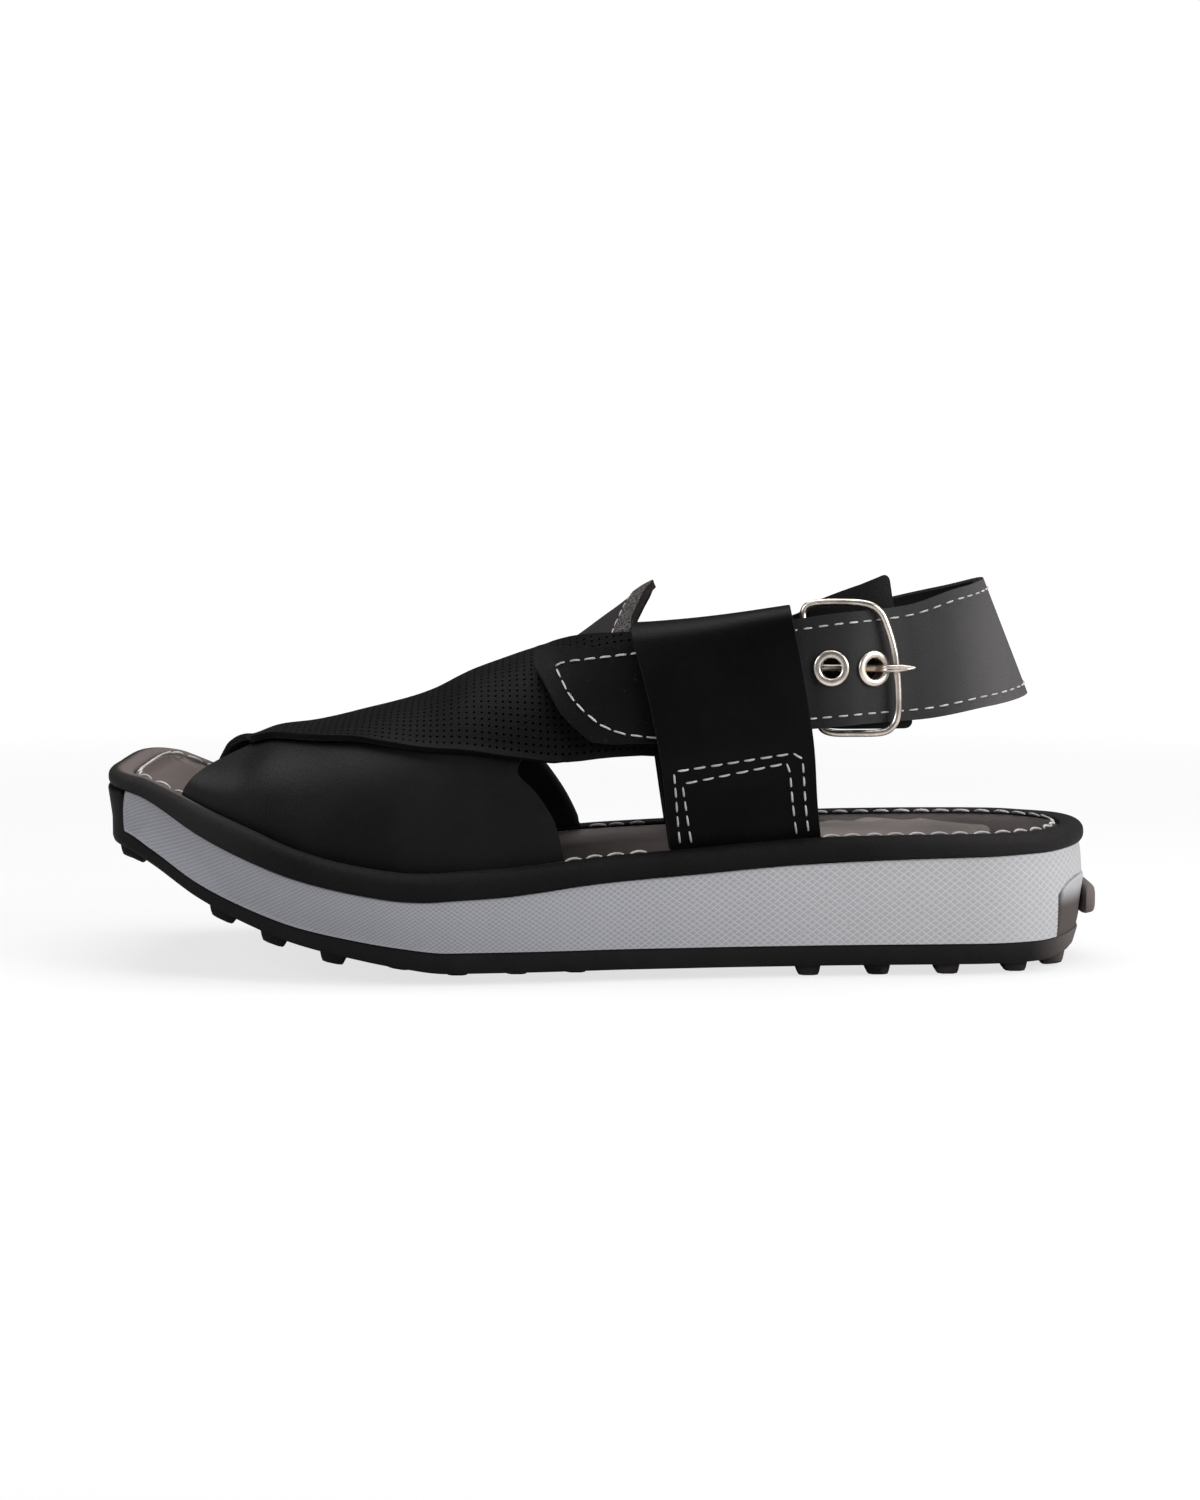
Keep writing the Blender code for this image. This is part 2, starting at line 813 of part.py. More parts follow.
def cup_height(share):
    t = min(max((1 - share) * SOLE_LENGTH / HEEL_CUP_REACH, 0.0), 1.0)
    return HEEL_CUP_HEIGHT + (HEEL_CUP_SIDE_HEIGHT - HEEL_CUP_HEIGHT) * t


def make_midsole(collection, cutters, finish):
    def part_way(t):
        return lambda share: outsole_top(share) + GAP + t * (midsole_top(share) - outsole_top(share) - GAP)

    levels = [
        (MIDSOLE_INSET + MIDSOLE_ROUND / 3, part_way(0)),
        (MIDSOLE_INSET, part_way(0.12)),
        (MIDSOLE_INSET, part_way(0.55)),
        (MIDSOLE_INSET + MIDSOLE_ROUND / 2, part_way(0.9)),
        (MIDSOLE_INSET + MIDSOLE_ROUND, part_way(1)),
    ]
    midsole = new_object("midsole", sole_slab(levels), collection, finish)
    outside = -CUTTER_REACH / 2
    toe_seat = swept_wall(
        wrap_stations(BUMPER_REACH + GAP, heel=False),
        (
            (outside, lambda share: base_height(share) - CUTTER_REACH),
            (outside, lambda share: midsole_top(share) + CUTTER_REACH),
            (BUMPER_THICKNESS + GAP, lambda share: midsole_top(share) + CUTTER_REACH),
            (BUMPER_THICKNESS + GAP, lambda share: base_height(share) - CUTTER_REACH),
        ),
    )
    boolean(midsole, new_object("toe_seat", toe_seat, cutters), "DIFFERENCE")
    heel_seat = swept_wall(
        wrap_stations(HEEL_CUP_REACH + GAP, heel=True),
        (
            (outside, lambda share: base_height(share) - CUTTER_REACH),
            (outside, lambda share: cup_height(share) + 2 * GAP),
            (HEEL_CUP_THICKNESS + GAP, lambda share: cup_height(share) + 2 * GAP),
            (HEEL_CUP_THICKNESS + GAP, lambda share: base_height(share) - CUTTER_REACH),
        ),
        level=False,
    )
    boolean(midsole, new_object("heel_seat", heel_seat, cutters), "DIFFERENCE")


def make_welt(collection, finish):
    def level(t):
        return lambda share: midsole_top(share) + GAP + t * (welt_top(share) - midsole_top(share) - GAP)

    bm = bmesh.new()
    stations = perimeter(station_shares())
    rows = loft_rings(bm, [inset_ring(stations, WELT_WIDTH * inset, level(t)) for inset, t in WELT])
    bridge(bm, rows[-1], rows[0])
    new_object("welt", bm, collection, finish)


def footbed_sag(t, share):
    return INSOLE_DISH * (1 - (2 * t - 1) ** 4) * min(1.0, end_round(share))


def make_insole(collection, finish):
    inset = WELT_WIDTH + GAP
    levels = [
        (inset, lambda share: midsole_top(share) + GAP),
        (inset, lambda share: footbed_edge(share) - INSOLE_CHAMFER),
        (inset + INSOLE_CHAMFER, footbed_edge),
    ]
    new_object("insole", sole_slab(levels, INSOLE_COLUMNS, footbed_sag), collection, finish)


def girth_rows(table):
    """Girth shares of a band's rows: each row of the table and more between far ones."""
    shares = []
    for before, after in zip(table, table[1:]):
        steps = math.ceil((after[0] - before[0]) / GIRTH_STEP)
        shares += [before[0] + (after[0] - before[0]) * i / steps for i in range(steps)]
    shares.append(table[-1][0])
    return shares


def band_rows(table, off):
    rows = []
    for girth in girth_rows(table):
        front = line_read(table, girth, 1)
        rear = line_read(table, girth, 2)
        row = []
        for i in range(BAND_COLUMNS + 1):
            share = front + (rear - front) * i / BAND_COLUMNS
            safe = min(max(girth, 0.001), 0.999)
            if off:
                row.append(off_surface(last_at_girth, share, safe, off))
            else:
                row.append(last_at_girth(share, girth))
        rows.append(row)
    return rows


def make_upper(collection, cutters, finish):
    upper = thick_surface("upper", band_rows(SMOOTH_BAND, 0), LEATHER, collection, finish)
    over = thick_surface("over_band", band_rows(OVER_BAND, LEATHER - LAP), OVER_LEATHER, cutters, None)
    over.hide_render = True
    over.display_type = "WIRE"
    boolean(upper, over, "UNION")


def loop_sides(share_up):
    """Front and rear edge of a loop, which leans forwards as it rises."""
    front = LOOP_FRONT + LOOP_LEAN * (0.5 - share_up)
    return front, front + LOOP_WIDTH


def loop_point(x, height, side, off):
    """Point at a height above the floor, a distance off the foot."""
    distance = -side * (HEEL_ARC + HEEL_CENTRE - x)
    rise = wall_off(distance, height, off).z - height
    return wall_off(distance, height - rise, off)


def make_loop(name, side, collection, cutters, finish):
    """A leather keeper folded over the strap, with the slot that strap and band run in."""
    slot_in = (LEATHER - LAP if side < 0 else 0.0) - GAP
    slot_out = strap_off(-side * FLAP_START) + STRAP_THICKNESS + 2 * GAP
    depth = slot_out - slot_in
    drop = MEDIAL_LOOP_DROP if side > 0 else 0.0
    columns = LOOP_COLUMNS
    bm = bmesh.new()
    rings = []
    for t, outer, inner in LOOP:
        front, rear = loop_sides(t)
        ring = []
        for face, order in ((outer, range(columns + 1)), (inner, range(columns, -1, -1))):
            for i in order:
                x = front + (rear - front) * i / columns
                bottom = footbed_edge(share_at(x)) + GAP
                top = LOOP_TOP + LOOP_TOP_RISE * (i / columns - 0.5) - drop
                height = bottom + t * (top - bottom)
                ring.append(loop_point(x, height, side, slot_in + face * depth))
        rings.append(ring)
    rows = loft_rings(bm, rings)
    for row, flip in ((rows[0], False), (rows[-1], True)):
        for i in range(columns):
            face = (row[i], row[i + 1], row[-i - 2], row[-i - 1])
            bm.faces.new(tuple(reversed(face)) if flip else face)
    loop = new_object(name, bm, collection, finish)
    cut = bmesh.new()
    rings = []
    steps = 6
    for k in range(steps + 1):
        t = k / steps
        ring = []
        for face, order in ((slot_out, range(columns + 3)), (slot_in, range(columns + 2, -1, -1))):
            for i in order:
                share_across = (i - 1) / columns
                bottom = SLOT_BOTTOM - drop / 2
                top = LOOP_TOP + LOOP_TOP_RISE * (share_across - 0.5) - drop - LOOP_WALL
                height = bottom + t * (top - bottom)
                foot = footbed_edge(share_at(LOOP_FRONT))
                front, rear = loop_sides((height - foot) / (LOOP_TOP - foot))
                x = front + (rear - front) * share_across
                ring.append(loop_point(x, height, side, face))
        rings.append(ring)
    rows = loft_rings(cut, rings)
    for row, flip in ((rows[0], False), (rows[-1], True)):
        for i in range(columns + 2):
            face = (row[i], row[i + 1], row[-i - 2], row[-i - 1])
            cut.faces.new(tuple(reversed(face)) if flip else face)
    boolean(loop, new_object(name + "_slot", cut, cutters), "DIFFERENCE")


def strap_rows():
    """Columns up the strap at places close together where it turns, swings or narrows."""
    swings = [row[0] * HINGE_AT / STRAP_OUTER_REACH for row in SWING]
    places = swings + [STRAP[-1][0]]
    for before, after in zip(STRAP, STRAP[1:]):
        length = strap_place(after[0]) - strap_place(before[0])
        steps = max(1, math.ceil(length / STRAP_STEP))
        for i in range(steps):
            at = before[0] + (after[0] - before[0]) * i / steps
            if all(abs(strap_place(at) - strap_place(swing)) > STRAP_STEP / 3 for swing in swings):
                places.append(at)
    rows = []
    for at in sorted(places):
        low, high = strap_level(at)
        distance = strap_place(at)
        off = strap_off(distance)
        heights = [low + (high - low) * i / STRAP_COLUMNS for i in range(STRAP_COLUMNS + 1)]
        rows.append([wall_off(distance, height, off) for height in heights])
    return rows


def place_on_strap(distance):
    """Matrix at an eyelet's place on the strap's face, with its Z axis away from the foot."""
    origin = strap_face(BUCKLE_HEIGHT, distance)
    normal = (off_surface(strap_face, BUCKLE_HEIGHT, distance, 0.001) - origin).normalized()
    upright = Vector((0, 0, 1))
    right = upright.cross(normal).normalized()
    up = normal.cross(right)
    turn = Matrix((right, up, normal)).transposed().to_4x4()
    return Matrix.Translation(origin) @ turn


def make_strap(collection, cutters, finish):
    strap = thick_surface("heel_strap", strap_rows(), STRAP_THICKNESS, collection, finish)
    radius = EYELET_HOLE + EYELET_WALL + GAP
    for i, distance in enumerate(EYELETS_AT):
        bm = bmesh.new()
        bmesh.ops.create_cone(
            bm, cap_ends=True, segments=ROUND_STEPS, radius1=radius, radius2=radius, depth=4 * STRAP_THICKNESS
        )
        bm.transform(place_on_strap(distance))
        boolean(strap, new_object(f"strap_hole_{i + 1}", bm, cutters), "DIFFERENCE")


def make_eyelet(number, distance, collection, finish):
    """A turned ring: a barrel through the strap and a flange on its face."""
    bottom = -STRAP_THICKNESS
    top = EYELET_FLANGE + GAP
    profile = (
        (EYELET_HOLE, top - EYELET_ROUND),
        (EYELET_HOLE + EYELET_ROUND, top),
        (EYELET_RADIUS - EYELET_ROUND, top),
        (EYELET_RADIUS, top - EYELET_ROUND),
        (EYELET_RADIUS - GAP, GAP),
        (EYELET_HOLE + EYELET_WALL, GAP),
        (EYELET_HOLE + EYELET_WALL, bottom),
        (EYELET_HOLE, bottom),
    )
    bm = bmesh.new()
    verts = [bm.verts.new((radius, 0, height)) for radius, height in profile]
    for i in range(len(verts)):
        bm.edges.new((verts[i], verts[(i + 1) % len(verts)]))
    bmesh.ops.spin(
        bm,
        geom=bm.verts[:] + bm.edges[:],
        cent=(0, 0, 0),
        axis=(0, 0, 1),
        angle=2 * math.pi,
        steps=ROUND_STEPS,
        use_merge=True,
    )
    bm.transform(place_on_strap(distance))
    new_object(f"eyelet_{number}", bm, collection, finish)


def make_flap(collection, finish):
    rows = []
    places = []
    for before, after in zip(FLAP, FLAP[1:]):
        places += [before[0] + (after[0] - before[0]) * i / 3 for i in range(3)]
    places.append(1.0)
    for at in places:
        place = FLAP_START + (FLAP_END - FLAP_START) * at
        middle = STRAP_HEIGHT + STRAP_WIDTH * smooth_read(FLAP, at, 1)
        half = STRAP_WIDTH * smooth_read(FLAP, at, 2) / 2
        off = FLAP_ROOT_DEPTH + (FLAP_DEPTH - FLAP_ROOT_DEPTH) * smooth_read(FLAP, at, 3)
        heights = [middle + half - 2 * half * i / STRAP_COLUMNS for i in range(STRAP_COLUMNS + 1)]
        lean = BUCKLE_LEAN + (FLAP_END_LEAN - BUCKLE_LEAN) * at
        rows.append([wall_off(leaning(place, height, lean), height, off) for height in heights])
    thick_surface("buckle_base", rows, FLAP_THICKNESS, collection, finish)


def leaning(distance, height, lean):
    """A place round the heel that lies further forwards the higher it is."""
    return distance + lean * (height - BUCKLE_HEIGHT)


def curve_through(points, closed, steps):
    """Points on a smooth curve through the given ones."""
    count = len(points)
    out = []
    for i in range(count if closed else count - 1):
        first = points[(i - 1) % count] if closed or i > 0 else points[i]
        second = points[i]
        third = points[(i + 1) % count]
        fourth = points[(i + 2) % count] if closed or i < count - 2 else third
        for k in range(steps):
            t = k / steps
            a = -0.5 * first + 1.5 * second - 1.5 * third + 0.5 * fourth
            b = first - 2.5 * second + 2 * third - 0.5 * fourth
            c = 0.5 * (third - first)
            out.append(a * t**3 + b * t**2 + c * t + second)
    if not closed:
        out.append(points[-1])
    return out


def make_wire(name, points, radii, closed, collection, finish):
    curve = bpy.data.curves.new(name, "CURVE")
    curve.dimensions = "3D"
    curve.bevel_depth = 1
    curve.bevel_resolution = 2
    curve.use_fill_caps = True
    spline = curve.splines.new("POLY")
    spline.points.add(len(points) - 1)
    for i, point in enumerate(points):
        spline.points[i].co = (*point, 1)
        spline.points[i].radius = radii[i]
    spline.use_cyclic_u = closed
    wire = bpy.data.objects.new(name, curve)
    collection.objects.link(wire)
    curve.materials.append(finish)


def make_buckle(collection, finish):
    half = FRAME_HEIGHT / 2
    behind = FLAP_DEPTH + FLAP_THICKNESS + 2 * GAP + WIRE_RADIUS
    before = strap_off(OUTER_BAR_AT) + STRAP_THICKNESS + BAR_CLEARANCE + WIRE_RADIUS
    span = HINGE_AT - OUTER_BAR_AT
    points = []
    for a, b in FRAME:
        height = BUCKLE_HEIGHT + half * b
        place = HINGE_AT - span * a
        off = behind + (before - behind) * min(1.0, a / FRAME_LEVEL_FROM)
        points.append(wall_off(leaning(place, height, BUCKLE_LEAN * (1 - a)), height, off))
    points = curve_through(points, True, 2)
    make_wire("buckle_frame", points, [WIRE_RADIUS] * len(points), True, collection, finish)
    hole = EYELETS_AT[1]
    over = before + WIRE_RADIUS + GAP + PRONG_RADIUS
    route = (
        (HINGE_AT - WIRE_RADIUS - GAP - PRONG_RADIUS / 4, behind),
        (hole + PRONG_BEND, behind),
        (hole + PRONG_BEND / 2, behind + PRONG_RADIUS / 2),
        (hole + PRONG_BEND / 5, behind + 2 * PRONG_RADIUS),
        (hole - PRONG_BEND / 10, (behind + over) / 2),
        (hole - PRONG_BEND / 3, over - PRONG_RADIUS / 2),
        (OUTER_BAR_AT, over + GAP / 2),
        (OUTER_BAR_AT - PRONG_TIP, over + GAP),
    )
    prong = curve_through([wall_off(d, BUCKLE_HEIGHT, off) for d, off in route], False, 2)
    radii = [PRONG_RADIUS * min(1.0, 0.35 + 0.35 * i) for i in range(len(prong))]
    make_wire("buckle_prong", prong, list(reversed(radii)), False, collection, finish)


def main():
    for old in list(bpy.data.objects):
        bpy.data.objects.remove(old)
    shoe = bpy.data.collections.new("peshawari_chappal")
    cutters = bpy.data.collections.new("cutters")
    bpy.context.scene.collection.children.link(shoe)
    bpy.context.scene.collection.children.link(cutters)
    look = {name: make_finish(name) for name in COLOURS}
    make_outsole(shoe, cutters, look["rubber"])
    make_midsole(shoe, cutters, look["foam"])
    make_welt(shoe, look["rubber"])
    make_insole(shoe, look["footbed"])
    make_upper(shoe, cutters, look["leather"])
    make_loop("loop_lateral", -1, shoe, cutters, look["leather"])
    make_loop("loop_medial", 1, shoe, cutters, look["leather"])
    make_strap(shoe, cutters, look["strap"])
    make_flap(shoe, look["leather"])
    for number, distance in enumerate(EYELETS_AT, 1):
        make_eyelet(number, distance, shoe, look["metal"])
    make_buckle(shoe, look["metal"])


main()
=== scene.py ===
import math
import random

import bmesh
import bpy
from mathutils import Matrix, Vector, noise


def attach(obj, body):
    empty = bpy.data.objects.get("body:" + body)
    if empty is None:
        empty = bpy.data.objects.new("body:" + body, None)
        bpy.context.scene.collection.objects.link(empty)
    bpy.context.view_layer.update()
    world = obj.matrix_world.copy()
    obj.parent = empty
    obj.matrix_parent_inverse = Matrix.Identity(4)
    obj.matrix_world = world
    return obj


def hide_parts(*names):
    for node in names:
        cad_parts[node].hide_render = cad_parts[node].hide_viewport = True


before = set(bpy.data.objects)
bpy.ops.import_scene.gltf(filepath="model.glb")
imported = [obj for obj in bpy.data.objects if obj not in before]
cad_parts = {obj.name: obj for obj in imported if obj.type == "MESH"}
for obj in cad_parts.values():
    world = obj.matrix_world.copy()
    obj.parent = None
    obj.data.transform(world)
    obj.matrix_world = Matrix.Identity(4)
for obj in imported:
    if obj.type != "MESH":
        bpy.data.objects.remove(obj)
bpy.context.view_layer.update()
random.seed(7)
print("frame loaded")

# Sizes in metres. The toe points to -X, the outer side of the foot is -Y, the floor is z = 0.
sole = {
    "length": 0.2838,
    "ballWidth": 0.1055,
    "heelWidth": 0.0720,
    "ballAt": 0.35,
    "heelAt": 0.75,
    "toeRound": 0.0155,
    "toeSquareness": 4.2,
    "heelRound": 0.0370,
    "heelSquareness": 2.2,
    "lugDepth": 0.0032,
    "rearLugDepth": 0.0030,
    "outsoleThickness": 0.0058,
    "midsoleHeel": 0.0258,
    "toeSpring": 0.0377,
    "weltHeight": 0.0074,
    "weltWidth": 0.0070,
    "insoleDrop": 0.0010,
    "dish": 0.0022,
    "gap": 0.0003,
}

last = {"instep": 0.0728, "ridgeShift": 0.0020, "outerInset": 0.0099, "innerInset": 0.0119}

heel = {"centre": 0.0720, "arc": 0.0610, "back": 0.1168, "lean": 0.40, "leanFrom": 0.0770}

# Share of the length, then the outer and inner half widths as shares of the half width there
outline = (
    (0.00, 0.630, 0.850),
    (0.05, 0.680, 0.920),
    (0.10, 0.790, 0.967),
    (0.15, 0.872, 1.000),
    (0.20, 0.938, 1.010),
    (0.25, 0.986, 1.005),
    (0.30, 1.005, 0.976),
    (0.35, 0.995, 0.930),
    (0.40, 0.980, 0.890),
    (0.50, 0.980, 0.853),
    (0.60, 1.030, 0.891),
    (0.70, 1.076, 0.962),
    (0.80, 1.042, 0.972),
    (0.90, 1.000, 0.958),
    (1.00, 0.972, 0.944),
)

# Share of the length, rise of the bottom, then midsole, welt and outsole heights as shares
sideView = (
    (0.00, 0.930, 0.396, 0.66, 0.95),
    (0.03, 0.864, 0.463, 0.68, 0.78),
    (0.05, 0.772, 0.520, 0.79, 0.73),
    (0.10, 0.530, 0.537, 1.12, 0.72),
    (0.15, 0.350, 0.529, 1.22, 0.76),
    (0.20, 0.212, 0.520, 1.12, 0.82),
    (0.25, 0.124, 0.510, 1.05, 0.88),
    (0.30, 0.050, 0.516, 1.05, 0.95),
    (0.35, 0.000, 0.570, 1.05, 1.00),
    (0.40, 0.000, 0.600, 1.03, 1.00),
    (0.50, 0.000, 0.730, 0.98, 1.00),
    (0.60, 0.000, 0.815, 0.97, 1.00),
    (0.70, 0.000, 0.900, 0.97, 1.00),
    (0.80, 0.000, 0.945, 0.91, 1.00),
    (0.90, 0.000, 0.973, 0.84, 1.00),
    (0.94, 0.000, 0.985, 0.82, 1.00),
    (1.00, 0.045, 0.960, 0.80, 1.00),
)

# Share of the length, height of the last's ridge as a share of the instep's, roundness
ridge = (
    (0.00, 0.100, 2.3),
    (0.086, 0.135, 2.3),
    (0.135, 0.218, 2.3),
    (0.169, 0.325, 2.3),
    (0.211, 0.410, 2.3),
    (0.252, 0.488, 2.3),
    (0.294, 0.556, 2.3),
    (0.336, 0.620, 2.3),
    (0.377, 0.692, 2.3),
    (0.419, 0.742, 2.3),
    (0.460, 0.780, 2.3),
    (0.517, 0.908, 2.4),
    (0.554, 1.000, 2.5),
    (0.630, 1.090, 3.0),
    (0.719, 1.320, 3.4),
    (0.800, 1.560, 3.6),
    (1.00, 1.560, 3.6),
)


def held(t):                             # kept between 0 and 1
    return min(max(t, 0.0), 1.0)


def ease(t):                             # 0 to 1 with a soft start and end
    t = held(t)
    return t * t * (3 - 2 * t)


def blend(start, end, t):
    return start + (end - start) * t


def smoothRead(table, at, column):       # a curve through the rows that never overshoots
    lastRow = len(table) - 1
    at = min(max(at, table[0][0]), table[lastRow][0])
    i = 0
    while i < lastRow - 1 and at > table[i + 1][0]:
        i += 1

    def slope(k):
        return (table[k + 1][column] - table[k][column]) / (table[k + 1][0] - table[k][0])

    def tangent(k):
        if k == 0:
            return slope(0)
        if k == lastRow:
            return slope(lastRow - 1)
        before = slope(k - 1)
        after = slope(k)
        return 0.0 if before * after <= 0 else 2 * before * after / (before + after)

    span = table[i + 1][0] - table[i][0]
    t = (at - table[i][0]) / span
    start = table[i][column] * (2 * t**3 - 3 * t**2 + 1) + tangent(i) * span * (t**3 - 2 * t**2 + t)
    end = table[i + 1][column] * (3 * t**2 - 2 * t**3) + tangent(i + 1) * span * (t**3 - t**2)
    return start + end


def track(table, column, samples=1500):  # the same curve, read quickly
    low = table[0][0]
    span = table[-1][0] - low
    values = [smoothRead(table, low + span * i / samples, column) for i in range(samples + 1)]

    def read(at):
        place = held((at - low) / span) * samples
        i = min(int(place), samples - 1)
        return blend(values[i], values[i + 1], place - i)

    return read


outerShare, innerShare = track(outline, 1), track(outline, 2)
baseRise, midsoleShare, weltShare, plateShare = [track(sideView, k) for k in (1, 2, 3, 4)]
ridgeRise, ridgePower = track(ridge, 1), track(ridge, 2)


def along(share):
    return share * sole["length"] - (sole["length"] + sole["rearLugDepth"]) / 2


def shareAt(x):
    return held((x - along(0)) / sole["length"])


def halfWidths(share):
    towardsHeel = ease((share - sole["ballAt"]) / (sole["heelAt"] - sole["ballAt"]))
    half = blend(sole["ballWidth"], sole["heelWidth"], towardsHeel) / 2
    return half * outerShare(share), half * innerShare(share)


def endRound(share):
    ends = (
        (share * sole["length"], sole["toeRound"], sole["toeSquareness"]),
        ((1 - share) * sole["length"], sole["heelRound"], sole["heelSquareness"]),
    )
    for distance, reach, power in ends:
        if distance < reach:
            return max(0.0, 1 - ((reach - distance) / reach) ** power) ** (1 / power)
    return 1.0


def outlinePoint(share, side):
    outer, inner = halfWidths(share)
    half = (inner + outer) / 2 * endRound(share)
    return Vector((along(share), (inner - outer) / 2 + side * half, 0))


def baseHeight(share):
    return sole["lugDepth"] + sole["toeSpring"] * baseRise(share)


def plateTop(share):
    return baseHeight(share) + sole["outsoleThickness"] * plateShare(share)


def midsoleTop(share):
    return plateTop(share) + sole["midsoleHeel"] * midsoleShare(share)


def weltTop(share):
    return midsoleTop(share) + sole["weltHeight"] * weltShare(share)


def footbedEdge(share):
    return weltTop(share) - sole["insoleDrop"]


def runningLength(points):
    lengths = [0.0]
    for before, after in zip(points, points[1:]):
        lengths.append(lengths[-1] + (after - before).length)
    return lengths


def findStep(values, goal):              # the step of a rising list that holds a value, and how far in
    low = 0
    high = len(values) - 1
    while high - low > 1:
        middle = (low + high) // 2
        if values[middle] < goal:
            low = middle
        else:
            high = middle
    return low, (goal - values[low]) / max(values[high] - values[low], 1e-9)


# The rim of the sole at even steps of its length, from the toe along the outer side
def makeRim(count):
    shares = []
    for i in range(count + 1):
        even = (1 - math.cos(math.pi * i / count)) / 2
        shares.append((even + ease(even)) / 2)
    points = [outlinePoint(share, -1) for share in shares]
    points += [outlinePoint(share, 1) for share in reversed(shares[1:-1])]
    points.append(points[0])
    lengths = runningLength(points)
    steps = 2 * count
    rim = []
    for i in range(steps):
        k, t = findStep(lengths, lengths[-1] * i / steps)
        rim.append(points[k].lerp(points[k + 1], t))
    inwards = []
    for i in range(steps):
        direction = (rim[(i + 2) % steps] - rim[i - 2]).normalized()
        inwards.append(Vector((-direction.y, direction.x, 0)))
    return rim, inwards, lengths[-1]


rimPoints, rimInwards, rimLength = makeRim(1400)


def rimAt(u, inset):
    place = (u % 1.0) * len(rimPoints)
    i = int(place) % len(rimPoints)
    j = (i + 1) % len(rimPoints)
    t = place - int(place)
    inward = rimInwards[i].lerp(rimInwards[j], t)
    return rimPoints[i].lerp(rimPoints[j], t) + inward * inset


def rimLevel(u, inset, height):
    point = rimAt(u, inset)
    point.z = height(shareAt(point.x))
    return point


# The last, which the bands, loops and strap follow
def ridgeLine(share):
    outer, inner = halfWidths(share)
    return (inner - outer) / 2 + last["ridgeShift"]


def sideReach(share, side):
    outer, inner = halfWidths(share)
    if side < 0:
        return outer - last["outerInset"] + ridgeLine(share)
    return inner - last["innerInset"] - ridgeLine(share)


def lastAtHeight(x, height, side):
    share = shareAt(x)
    rise = last["instep"] * ridgeRise(share)
    power = ridgePower(share)
    level = held((height - footbedEdge(share)) / rise)
    half = sideReach(share, side) * (1 - level**power) ** (1 / power)
    return Vector((x, ridgeLine(share) + side * half, height))


def lastAtGirth(share, girth):
    side = -1 if girth < 0.5 else 1
    level = abs(math.sin(math.pi * girth)) ** 0.85
    power = ridgePower(share)
    half = sideReach(share, side) * max(0.0, 1 - level**power) ** (1 / power)
    height = footbedEdge(share) + sole["gap"] + last["instep"] * ridgeRise(share) * level
    return Vector((along(share), ridgeLine(share) + side * half, height))


def offSurface(pointAt, first, second, distance, step=0.0005):   # a point moved out along the normal
    across = pointAt(first + step, second) - pointAt(first - step, second)
    up = pointAt(first, second + step) - pointAt(first, second - step)
    return pointAt(first, second) + across.cross(up).normalized() * distance


def bandPoint(share, girth, off):
    safe = min(max(girth, 0.001), 0.999)
    return offSurface(lastAtGirth, share, safe, off, 0.001)


def heelHalf(height, side):
    return abs(lastAtHeight(heel["centre"], height, side).y - ridgeLine(shareAt(heel["centre"])))


def wallPoint(distance, height):         # round the heel: minus inner side, 0 back, plus outer
    side = 1 if distance < 0 else -1
    if abs(distance) > heel["arc"]:
        return lastAtHeight(heel["centre"] - (abs(distance) - heel["arc"]), height, side)
    angle = distance / heel["arc"] * math.pi / 2
    back = heel["back"] - heel["lean"] * (height - heel["leanFrom"]) - heel["centre"]
    y = ridgeLine(shareAt(heel["centre"])) - heelHalf(height, side) * math.sin(angle)
    return Vector((heel["centre"] + back * math.cos(angle), y, height))


def wallOff(distance, height, off):
    return offSurface(lambda up, roundHeel: wallPoint(roundHeel, up), height, distance, off)


# Meshes
def addGrid(bm, columns, rows, place, uvSize=(1.0, 1.0)):   # place says where each share u, v goes
    made = bmesh.ops.create_grid(bm, x_segments=columns, y_segments=rows, size=0.5)["verts"]
    uvLayer = bm.loops.layers.uv.verify()
    spots = {vert: (vert.co.x + 0.5, vert.co.y + 0.5) for vert in made}
    for face in {face for vert in made for face in vert.link_faces}:
        for loop in face.loops:
            u, v = spots[loop.vert]
            loop[uvLayer].uv = (u * uvSize[0], v * uvSize[1])
    for vert, (u, v) in spots.items():
        vert.co = place(u, v)
    return made


def addCap(bm, around, across, ring, height=None):   # strips that close a ring from side to side
    def place(a, b):
        point = ring(a / 2).lerp(ring(1 - a / 2), b)
        if height:
            point.z = height(point)
        return point

    addGrid(bm, around // 2, across, place)


def turnAway(bm, centreOf):              # an open sheet faces away from a line inside the foot
    bm.normal_update()
    facing = sum(
        (face.calc_center_median() - centreOf(face.calc_center_median())).dot(face.normal)
        for face in bm.faces
    )
    if facing < 0:
        bmesh.ops.reverse_faces(bm, faces=bm.faces)


def footLine(point):
    return Vector((min(point.x, heel["centre"]), 0, min(point.z, 0.045)))


def wallLine(point):
    return Vector((min(point.x, heel["centre"]), 0, point.z))


def addObject(name, data):
    made = bpy.data.objects.new(name, data)
    bpy.context.scene.collection.objects.link(made)
    return made


def takeMesh(name, bm):
    mesh = bpy.data.meshes.new(name)
    bm.to_mesh(mesh)
    bm.free()
    return mesh


def addWall(piece, sheet, rimSlot):      # gives a sheet its thickness and softens its edges
    wall = piece.modifiers.new("wall", "SOLIDIFY")
    wall.thickness = sheet["thickness"]
    wall.offset = sheet.get("offset", -1)
    wall.material_offset_rim = rimSlot
    wall.use_quality_normals = True
    if "edge" in sheet:
        rounding = piece.modifiers.new("edge", "BEVEL")
        rounding.width = sheet["edge"]
        rounding.segments = 2
        rounding.limit_method = "ANGLE"
        rounding.angle_limit = math.radians(50)
        rounding.harden_normals = True


